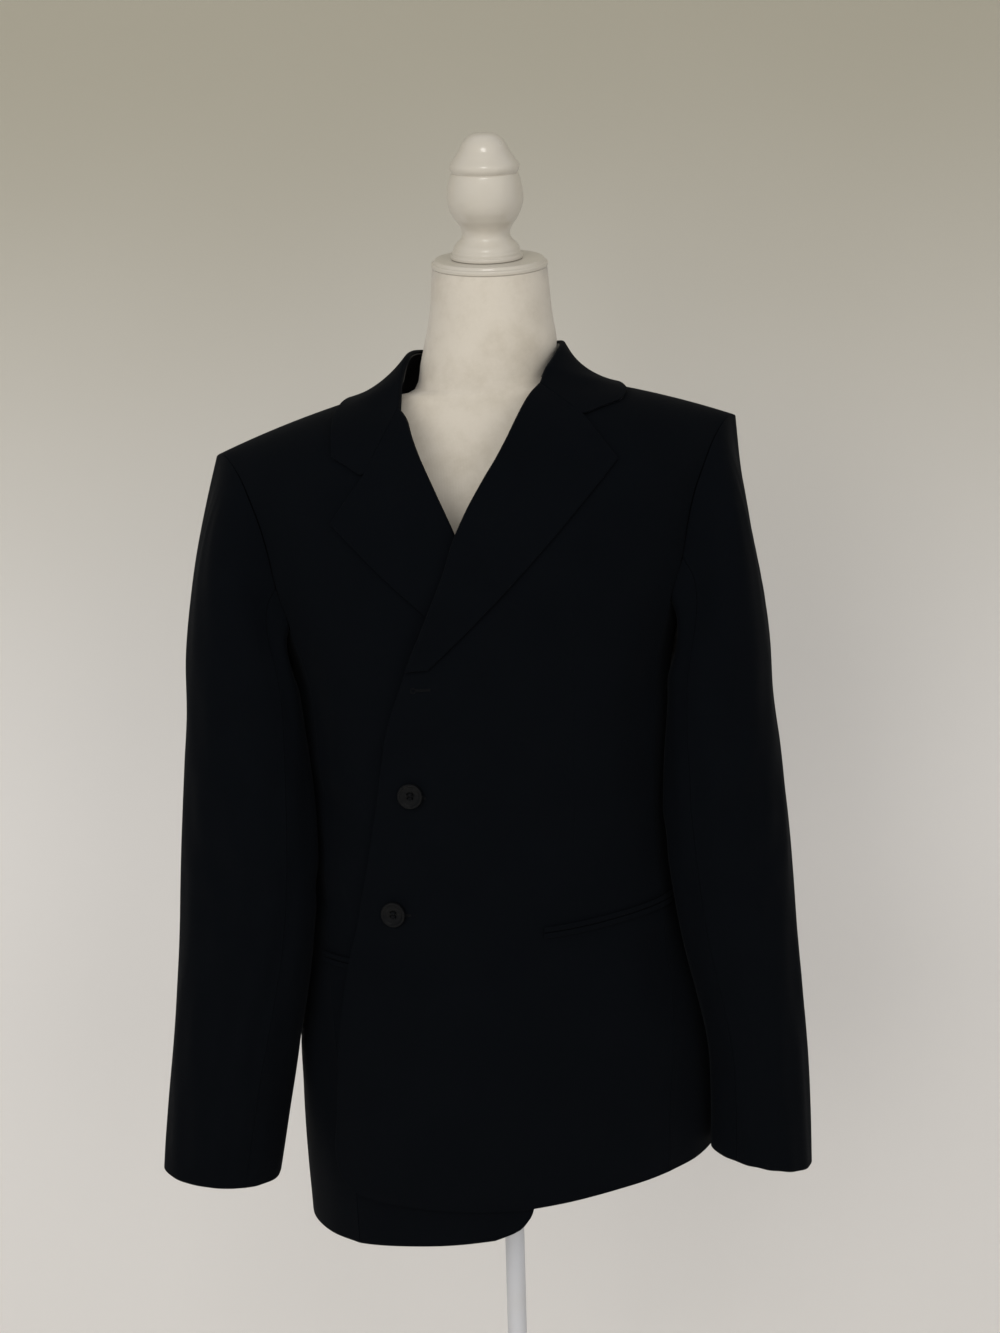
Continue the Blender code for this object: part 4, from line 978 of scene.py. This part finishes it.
def sleeve_hang(points, middles, sign, side, head_run):
    """How sleeve cloth moves from its plain form, going over to the body's folds at the armhole."""
    rising = middles[::-1]
    centre = [np.interp(points[..., 2], rising[:, 2], rising[:, k]) for k in (0, 1)]
    off = np.stack((points[..., 0] - centre[0], points[..., 1] - centre[1]), -1)
    turn = np.degrees(np.arctan2(-off[..., 1], sign * off[..., 0]))
    height = points[..., 2] - SLUMP * points[..., 0]
    relief = fold_relief(turn, height, SLEEVE_FOLDS[side], SLEEVE_GIRTH)
    relief += ripple(turn, height + sign)
    way = np.zeros_like(points)
    way[..., :2] = unit(off)
    swell_height, most = UNDERARM_SWELL[side]
    aside = (turn % 360 - 180) / SWELL_DEGREES
    tall = (height - swell_height) / SWELL_TALL
    swell = np.exp(-aside ** 2 - tall ** 2) * most * smooth_step(head_run, *SWELL_FADE)
    share = smooth_step(head_run, *SLEEVE_HEAD_FADE)[..., None]
    return way * (relief[..., None] * share + swell[..., None]) + body_hang(points) * (1 - share)


sleeve_faces = {(side, cut): outer_face(f"sleeve_{side}_{cut}", rows, columns, first_corner,
                                        axis=sleeve_axis(side), up=0.0)
                for side, _, cut, rows, columns, first_corner in SLEEVE_PANELS}
for side, sign, cut, *_ in SLEEVE_PANELS:
    both = np.concatenate((sleeve_faces[side, "upper"], sleeve_faces[side, "under"]), axis=1)
    middles = both.mean(axis=1)[HEAD_ROWS:]
    face = refined(sleeve_faces[side, cut], down=run_of(both, 0))
    face = face + sleeve_hang(face, middles, sign, side, edge_runs(face)[0])
    axis = middles.mean(axis=0)
    piece = sewn_piece(f"sleeve_{side}_{cut}", face, ("seam", "free", "seam", "seam"),
                       out_hint=lambda points: (points - axis) * (1, 1, 0))


# ---- Lapels ----------------------------------------------------------------------------------
# The fronts' facings turned out along a soft roll, not a pressed crease. Each is bagged out, so
# its free edge is thin and rounded, and the roll goes back into the front's own cloth.

# A lapel's node, rows and columns of points, and about where its first point lies
LAPELS = (
    ("lapel_left", 12, 7, (0.03, -0.06, 1.42)),
    ("lapel_right", 12, 7, (-0.07, -0.06, 1.42)),
)
LAPEL_CELL = 3.2 * MM
ROLL_SIDES = 12
# The column that shows which way the flat lies from its roll
ROLL_ONWARD = 4
# From the lapel's foot the roll makes its first quarter turn over this length and its second over
# as much again, and nowhere turns less than this, in radians
FOOT_EASE = 0.015
FOOT_TURN = 0.08


def rolled_over(grid, starts, radius, turns):
    """A face whose first column is rolled over: the arc's columns, then the flat from its start."""
    flat = row_points(grid, starts, LAPEL_CELL)
    square = squares(flat, coat_out)[:, 0]
    back = flat[:, 0] - flat[:, ROLL_ONWARD]
    back = unit(back - square * (back * square).sum(axis=1, keepdims=True))
    middle = flat[:, 0] - square * radius[:, None]
    arc = []
    for k in range(ROLL_SIDES, 0, -1):
        turn = (turns * k / ROLL_SIDES)[:, None]
        arc.append(middle + (np.cos(turn) * square + np.sin(turn) * back) * radius[:, None])
    return np.concatenate((np.stack(arc, axis=1), flat), axis=1)


for node, rows, columns, first_corner in LAPELS:
    fine = refined(outer_face(node, rows, columns, first_corner), LAPEL_CELL)
    from_foot = edge_runs(fine)[1][:, 0]
    ease = smooth_step(from_foot, 0.0, FOOT_EASE)
    closing = smooth_step(from_foot, FOOT_EASE, 2 * FOOT_EASE)
    radius = np.full(len(fine), LAPEL_ROLL)
    turns = np.maximum(np.arcsin(ease) + closing * math.pi / 2, FOOT_TURN)
    face = rolled_over(fine, LAPEL_ROLL * ease, radius, turns)
    piece = sewn_piece(node, face + body_hang(face), ("seam", "free", "none", "free"))


# ---- Collar ----------------------------------------------------------------------------------
# An upright stand sewn to the neckline, and a leaf that rolls over it and lies on the shoulders.
# The leaf meets the lapels in the gorge seams and leaves an open notch beyond them.

COLLAR_ROLL = 2.9 * MM
STAND_INSIDE = 3.8 * MM
LEAF_END_ROWS = 3
LEAF_START_LEAST = 0.6 * MM
LEAF_START_MOST = 1.8 * MM
LEAF_ONWARD = 5
LEAF_FALL_LEAST = 0.2
ROLL_SHORT = math.radians(6)
COLLAR_LEAF = ("collar_leaf", 27, 7, (0.03, -0.06, 1.42))
COLLAR_STAND = ("collar_stand", 21, 3, (0.04, -0.06, 1.37))

leaf = outer_face(*COLLAR_LEAF)
down = run_of(leaf, 0)
fine = refined(leaf, LAPEL_CELL)
run = edge_runs(fine)[0].mean(axis=1)
around_neck = (smooth_step(run, 0, down[LEAF_END_ROWS])
               * (1 - smooth_step(run, down[-1 - LEAF_END_ROWS], down[-1])))
fold = fine[:, 0]
outward = unit((fold - np.array((*COAT_AXIS, 0))) * (1, 1, 0))
falling = (unit(fine[:, LEAF_ONWARD] - fold) * outward).sum(axis=1)
lie = (squares(fine, coat_out)[:, 0] * outward).sum(axis=1)
start = (COLLAR_ROLL * (1 + lie) - STAND_INSIDE) / np.maximum(falling, LEAF_FALL_LEAST)
start = np.clip(start, LEAF_START_LEAST, LEAF_START_MOST)
start = LAPEL_ROLL + (start - LAPEL_ROLL) * around_neck
radius = LAPEL_ROLL + (COLLAR_ROLL - LAPEL_ROLL) * around_neck
turns = np.arccos(np.clip(-lie, -1, 1)) - ROLL_SHORT
turns = math.pi + (turns - math.pi) * around_neck
face = rolled_over(fine, start, radius, turns)
piece = sewn_piece("collar_leaf", face + body_hang(face), ("seam", "seam", "none", "free"))

face = refined(outer_face(*COLLAR_STAND), LAPEL_CELL)
piece = sewn_piece("collar_stand", face + body_hang(face), ("free", "free", "seam", "seam"))


# ---- Pockets ---------------------------------------------------------------------------------
# Jetted pockets: two narrow folded welts of the same cloth along each pocket mouth, seamed into
# the front and pressed, with no flap.

JET_WALL = 1.2 * MM
JET_CELL = 2.2 * MM
JET_ROWS = 2
JET_COLUMNS = 13
JETS = (
    ("pocket_left_upper_jet", (0.02, -0.12, 0.90)),
    ("pocket_left_lower_jet", (0.02, -0.12, 0.89)),
    ("pocket_right_upper_jet", (-0.06, -0.12, 0.88)),
    ("pocket_right_lower_jet", (-0.06, -0.12, 0.87)),
)
welts = {"front_left_cloth": [], "front_right_cloth": []}
for node, first_corner in JETS:
    packed = outer_face(node, JET_ROWS, JET_COLUMNS, first_corner, wall=JET_WALL)
    face = refined(packed, JET_CELL)
    piece = sewn_piece(node, face + body_hang(face), ("free",) * 4, wall=JET_WALL)
    welts["front_left_cloth" if "left" in node else "front_right_cloth"].append(piece)


# ---- Buttonholes -----------------------------------------------------------------------------
# Keyhole buttonholes cut in the outer front and whipped round by hand in black silk twist. Two
# lie under the buttons; the third, below the lapel, is undone and shows its whole ring.

# A buttonhole's place across, its height and its length, in metres
HOLES = (
    (-0.0655, 1.1465, 0.016),
    (-0.0760, 1.0560, 0.023),
    (-0.0920, 0.9563, 0.023),
)
HOLE_EYE = 2.1 * MM
HOLE_SLOT = 0.55 * MM
EYE_OPENING = 18
EYE_STEPS = 16
SLOT_PLACES = (-0.2, 0.1, 0.4, 0.7, 1.0)
STITCH_SIZES = {"Pitch": 0.62 * MM, "Length": 1.9 * MM, "Thickness": 0.55 * MM}
STITCH_SIDES = 8
STITCH_RINGS = 5
STITCH_SEAT = 0.10 * MM
# Stitches are laid out flat at this place along Y, in front of the coat, and moved back onto it
BEFORE_COAT = -1.0


def silk_twist():
    """Black silk twist, slightly shinier than the cloth."""
    finish = Finish("black_silk_twist", roughness=0.6, specular_ior_level=0.08)
    ply = finish.cloud(finish.place(), size=0.0004, detail=2.0)
    dye = finish.between(ply, (0.0022, 0.0025, 0.003), (0.005, 0.0053, 0.006))
    finish.feed("Base Color", dye)
    finish.feed("Roughness", 0.48 + ply * 0.16)
    finish.relief(ply, depth=0.00005, strength=0.6)
    return finish.material


def whip_stitches(finish):
    """Node tree of short stitches square to a path, and the identifiers of its size inputs."""
    tree = bpy.data.node_groups.new("whip_stitches", "GeometryNodeTree")
    tree.interface.new_socket("Path", in_out="INPUT", socket_type="NodeSocketGeometry")
    sizes = {}
    for word in STITCH_SIZES:
        socket = tree.interface.new_socket(word, in_out="INPUT", socket_type="NodeSocketFloat")
        sizes[word] = socket.identifier
    tree.interface.new_socket("Stitches", in_out="OUTPUT", socket_type="NodeSocketGeometry")

    def outputs(kind, settings=(), **inputs):
        """The outputs of a new node, with its settings made first, then its inputs."""
        made = tree.nodes.new(kind)
        for word, setting in settings:
            setattr(made, word, setting)
        for word, value in inputs.items():
            if isinstance(value, bpy.types.NodeSocket):
                tree.links.new(value, made.inputs[word])
            else:
                made.inputs[word].default_value = value
        return made.outputs

    given = outputs("NodeGroupInput")
    thick = given["Thickness"]
    spaced = outputs("GeometryNodeCurveToPoints", [("mode", "LENGTH")],
                     Curve=given["Path"], Length=given["Pitch"])
    bead = outputs("GeometryNodeMeshUVSphere",
                   Segments=STITCH_SIDES, Rings=STITCH_RINGS, Radius=0.5)
    size = outputs("ShaderNodeCombineXYZ", X=thick, Y=given["Length"], Z=thick)
    turn = outputs("FunctionNodeAlignRotationToVector", [("axis", "X"), ("pivot_axis", "Z")],
                   Vector=spaced["Tangent"])
    sewn = outputs("GeometryNodeInstanceOnPoints", Points=spaced["Points"],
                   Instance=bead["Mesh"], Rotation=turn["Rotation"], Scale=size["Vector"])
    real = outputs("GeometryNodeRealizeInstances", Geometry=sewn["Instances"])
    dyed = outputs("GeometryNodeSetMaterial", Geometry=real["Geometry"], Material=finish)
    outputs("NodeGroupOutput", Stitches=dyed["Geometry"])
    return tree, sizes


def keyhole(length):
    """A keyhole's outline on the flat, its eye towards the front edge at -X."""
    points = []
    half = length / 2
    for k in range(EYE_STEPS + 1):
        turn = math.radians(EYE_OPENING + (360 - 2 * EYE_OPENING) * k / EYE_STEPS)
        points.append((-half + HOLE_EYE + HOLE_EYE * math.cos(turn), HOLE_EYE * math.sin(turn)))
    slot = [(half * place, -HOLE_SLOT) for place in SLOT_PLACES]
    points += slot + [(x, -y) for x, y in slot[::-1]]
    return points


def stitched(name, path, tree, sizes):
    """Stitches along a flat closed path, as a plain mesh."""
    curve = bpy.data.curves.new(name + "_path", "CURVE")
    curve.dimensions = "3D"
    spline = curve.splines.new("POLY")
    spline.points.add(len(path) - 1)
    for point, (x, y) in zip(spline.points, path):
        point.co = (x, y, 0, 1)
    spline.use_cyclic_u = True
    carrier = bpy.data.objects.new(name + "_path", curve)
    bpy.context.scene.collection.objects.link(carrier)
    sewing = carrier.modifiers.new("stitches", "NODES")
    sewing.node_group = tree
    for word, size in STITCH_SIZES.items():
        sewing[sizes[word]] = size
    graph = bpy.context.evaluated_depsgraph_get()
    mesh = bpy.data.meshes.new_from_object(carrier.evaluated_get(graph))
    carrier.modifiers.remove(sewing)
    bpy.data.objects.remove(carrier)
    bpy.data.curves.remove(curve)
    return mesh


TWIST = silk_twist()
stitch_tree, stitch_sizes = whip_stitches(TWIST)
front_mesh = bpy.data.objects["front_left_cloth"].data
outer_front = BVHTree.FromPolygons([vertex.co for vertex in front_mesh.vertices],
                                   [tuple(face.vertices) for face in front_mesh.polygons])
stitch_points = []
stitch_faces = []
for x, height, length in HOLES:
    mesh = stitched("buttonhole", keyhole(length), stitch_tree, stitch_sizes)
    first = len(stitch_points)
    for vertex in mesh.vertices:
        across, tall, proud = vertex.co
        seen = Vector((x + across, BEFORE_COAT, height + SLUMP * (x + across) + tall))
        spot, square, _, _ = outer_front.ray_cast(seen, Vector((0, 1, 0)))
        stitch_points.append(spot + square * (proud + STITCH_SEAT))
    stitch_faces += [tuple(i + first for i in face.vertices) for face in mesh.polygons]
    bpy.data.meshes.remove(mesh)
stitches = keep_mesh("buttonhole_stitches", stitch_points, stitch_faces, [TWIST])
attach(stitches, "root")


# ---- Buttons ---------------------------------------------------------------------------------
# Dark polished resin buttons with a raised rim, a shallow well and four holes, sewn on by two
# bars of black twist and standing on a short wound shank.

BUTTON_CORNERS = (
    (0.0, 0.0, 0.0),
    (0.0092, 0.0, 0.0004),
    (0.01068, 0.0011, 0.0008),
    (0.01068, 0.0028, 0.0006),
    (0.0101, 0.0036, 0.0004),
    (0.0088, 0.0036, 0.0005),
    (0.0076, 0.0024, 0.0008),
    (0.0060, 0.0023, 0.0),
    (0.0, 0.0023, 0.0),
)
BUTTON_SIDES = 64
BUTTON_ROUND_STEPS = 5
BUTTON_SHARP_DEGREES = 50
BUTTON_WELL = 2.3 * MM
HOLE_RADIUS = 1.05 * MM
HOLE_ASIDE = 2.3 * MM / math.sqrt(2)
DRILL = ((HOLE_RADIUS, -2.0 * MM), (HOLE_RADIUS, 6.0 * MM))
DRILL_SIDES = 20
SHANK_RADIUS = 1.7 * MM
SHANK_SIDES = 16
SHANK_HEIGHTS = (-1.6 * MM, -0.8 * MM, 0.0, 0.2 * MM)
# A bar is three strands side by side, arched over the well between two holes and sunk into them
STRAND_RADIUS = 0.30 * MM
STRAND_SIDES = 8
STRAND_SHIFTS = (-1.9 * STRAND_RADIUS, 0.0, 1.9 * STRAND_RADIUS)
# A direction that no strand runs along
ACROSS_STRANDS = (0.31, 0.17, 0.93)
BAR_RISE = 0.55 * MM
BAR_SINK = 0.9 * MM
BAR_REACH = 1.05 * HOLE_ASIDE
BAR_STEPS = 8


def dark_resin():
    """Near-black resin with faint smoky streaks under a polish."""
    finish = Finish("dark_resin", roughness=0.45, specular_ior_level=0.12)
    where = finish.place()
    smoke = finish.cloud(finish.drawn_out(where, 2.6), size=0.007, detail=5.0, rough=0.6)
    streaks = finish.step(smoke, 0.35, 0.7)
    colour = finish.between(streaks, (0.0022, 0.0024, 0.0027), (0.0042, 0.0042, 0.0042))
    finish.feed("Base Color", colour)
    finish.feed("Roughness", 0.40 + smoke * 0.14)
    finish.relief(finish.cloud(where, size=0.0009, detail=2.0), depth=0.00003, strength=0.4)
    return finish.material


def strand(path, radius, sides):
    """A round strand along a path, closed at both ends."""
    points = []
    for here, way in zip(path, unit(np.gradient(np.array(path), axis=0))):
        aside = unit(np.cross(way, ACROSS_STRANDS))
        beside = np.cross(way, aside)
        for k in range(sides):
            turn = 2 * math.pi * k / sides
            points.append(here + (aside * math.cos(turn) + beside * math.sin(turn)) * radius)
    return points, ring_faces(len(path), sides)


RESIN = dark_resin()
for node in ("button_upper", "button_lower"):
    foot, axis = standing(node, (0, -1, 0))
    foot = foot + body_hang(foot[None])[0]
    across = unit(np.cross((0.0, 0.0, 1.0), axis))
    across *= np.sign(across[0])
    tall = np.cross(axis, across)
    tall *= np.sign(tall[2])
    disc = turned(node + "_disc", eased(BUTTON_CORNERS, BUTTON_ROUND_STEPS), foot, axis, RESIN,
                  BUTTON_SIDES, BUTTON_SHARP_DEGREES)
    drills = []
    for side_x, side_z in ((-1, -1), (1, -1), (1, 1), (-1, 1)):
        at = foot + (across * side_x + tall * side_z) * HOLE_ASIDE
        drills.append(turned("drill", DRILL, at, axis, RESIN, DRILL_SIDES))
    for drill in drills:
        bored = disc.modifiers.new("hole", "BOOLEAN")
        bored.operation = "DIFFERENCE"
        bored.solver = "EXACT"
        bored.object = drill
    graph = bpy.context.evaluated_depsgraph_get()
    pierced = bpy.data.meshes.new_from_object(disc.evaluated_get(graph))
    disc.modifiers.clear()
    disc.data = pierced
    for drill in drills:
        bpy.data.objects.remove(drill)
    rooted(disc, "dark_button", node)

    strands = []
    for side_z in (-1, 1):
        for shift in STRAND_SHIFTS:
            bar = []
            for k in range(BAR_STEPS + 1):
                turn = math.pi * k / BAR_STEPS
                sunk = BAR_SINK if k in (0, BAR_STEPS) else 0.0
                lift = BUTTON_WELL + BAR_RISE * math.sin(turn) - sunk
                place = foot - across * math.cos(turn) * BAR_REACH
                bar.append(place + tall * (side_z * HOLE_ASIDE + shift) + axis * lift)
            strands.append((bar, STRAND_RADIUS, STRAND_SIDES))
    neck = [foot + axis * height for height in SHANK_HEIGHTS]
    strands.append((neck, SHANK_RADIUS, SHANK_SIDES))
    points = []
    faces = []
    for path, radius, sides in strands:
        rings, closed = strand(path, radius, sides)
        faces += [tuple(i + len(points) for i in face) for face in closed]
        points += rings
    thread = keep_mesh(node + "_thread", points, faces, [TWIST])
    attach(thread, "root")


# ---- Room, light and camera ------------------------------------------------------------------
# A pale floor that sweeps up into a pale wall close behind the stand. Large soft lights stand at
# both front corners, the left one stronger, with a small one above; the camera is at chest height.

WALL_Y = 0.56
SWEEP = 0.10
SWEEP_STEPS = 12
ROOM_HALF = 3.2
WALL_TOP = 3.4
FLOOR_FRONT = -3.4
# The heights between which painted shade darkens and warms the wall towards the ceiling
WALL_SHADE_FROM = 0.84
WALL_SHADE_TO = 2.05


def painted_wall():
    """Matt wall paint, clear from behind; painted shade darkens and warms it towards the ceiling.
    """
    finish = Finish("matt_wall_paint", roughness=0.95, specular_ior_level=0.15)
    where = finish.place()
    height = finish.parts(where)[2]
    patch = finish.cloud(where, size=0.8, detail=2.0)
    # Painted shade: the wall grows darker and warmer higher up, in soft uneven patches
    ceiling_shade = finish.step(height + patch * 0.2, WALL_SHADE_FROM, WALL_SHADE_TO)
    finish.feed("Base Color", finish.between(ceiling_shade, (0.74, 0.715, 0.68), (0.355, 0.33, 0.262)))
    finish.relief(finish.cloud(where, size=0.012), depth=0.0002, strength=0.3)
    painted = Value(finish, finish.shader.outputs["BSDF"])
    clear = finish.node("ShaderNodeBsdfTransparent")
    behind = finish.node("ShaderNodeNewGeometry", out="Backfacing")
    seen = finish.node("ShaderNodeMixShader", None, {"Fac": behind, 1: painted, 2: clear})
    surface = finish.tree.nodes["Material Output"].inputs["Surface"]
    finish.tree.links.new(seen.socket, surface)
    return finish.material


sweep = [(FLOOR_FRONT, 0.0)]
for k in range(SWEEP_STEPS + 1):
    turn = math.pi / 2 * k / SWEEP_STEPS
    sweep.append((WALL_Y - SWEEP + SWEEP * math.sin(turn), SWEEP - SWEEP * math.cos(turn)))
sweep.append((WALL_Y, WALL_TOP))
room_points = [(x, y, z) for y, z in sweep for x in (-ROOM_HALF, ROOM_HALF)]
room_faces = [(2 * k, 2 * k + 1, 2 * k + 3, 2 * k + 2) for k in range(len(sweep) - 1)]
room = keep_mesh("floor_and_wall", room_points, room_faces, [painted_wall()])


def soft_light(name, place, target, width, height, power, colour, glints=False):
    """A soft area light aimed at a point, kept out of reflections unless it may glint."""
    lamp = bpy.data.lights.new(name, "AREA")
    lamp.shape = "RECTANGLE"
    lamp.size = width
    lamp.size_y = height
    lamp.energy = power
    lamp.color = colour
    made = bpy.data.objects.new(name, lamp)
    made.location = place
    made.rotation_euler = (Vector(target) - Vector(place)).to_track_quat("-Z", "Y").to_euler()
    made.visible_glossy = glints
    bpy.context.scene.collection.objects.link(made)


soft_light("window_light", place=(-1.7, -2.5, 1.9), target=(0.1, 0.1, 1.1),
           width=2.2, height=2.0, power=50, colour=(1.0, 0.985, 0.96))
soft_light("room_light", place=(1.8, -2.4, 2.0), target=(0.0, 0.0, 1.1),
           width=2.4, height=2.0, power=32, colour=(1.0, 0.98, 0.95))
soft_light("ceiling_light", place=(-0.1, -2.0, 2.5), target=(0.0, 0.0, 1.4),
           width=0.7, height=0.4, power=7, colour=(1.0, 0.98, 0.95), glints=True)

AIR_COLOUR = (0.93, 0.95, 1.0, 1.0)
AIR_STRENGTH = 0.42

air = bpy.data.worlds.new("room_air")
air.use_nodes = True
background = air.node_tree.nodes["Background"]
background.inputs["Color"].default_value = AIR_COLOUR
background.inputs["Strength"].default_value = AIR_STRENGTH
bpy.context.scene.world = air
bpy.context.scene.view_settings.view_transform = "Standard"

CAMERA_PLACE = (0.0, -1.26, 1.30)
CAMERA_DOWN = math.radians(7.0)
CAMERA_LEAN = math.radians(1.5)
CAMERA_LENS = 37.81
CAMERA_SENSOR = 36.0

ahead = Vector((0, math.cos(CAMERA_DOWN), -math.sin(CAMERA_DOWN)))
level = Vector((1, 0, 0))
upright = level.cross(ahead)
right = level * math.cos(CAMERA_LEAN) - upright * math.sin(CAMERA_LEAN)
above = level * math.sin(CAMERA_LEAN) + upright * math.cos(CAMERA_LEAN)
lens = bpy.data.cameras.new("camera")
lens.lens = CAMERA_LENS
lens.sensor_width = CAMERA_SENSOR
camera = bpy.data.objects.new("camera", lens)
facing = Matrix((right, above, -ahead)).transposed().to_4x4()
facing.translation = Vector(CAMERA_PLACE)
camera.matrix_world = facing
bpy.context.scene.collection.objects.link(camera)
bpy.context.scene.camera = camera
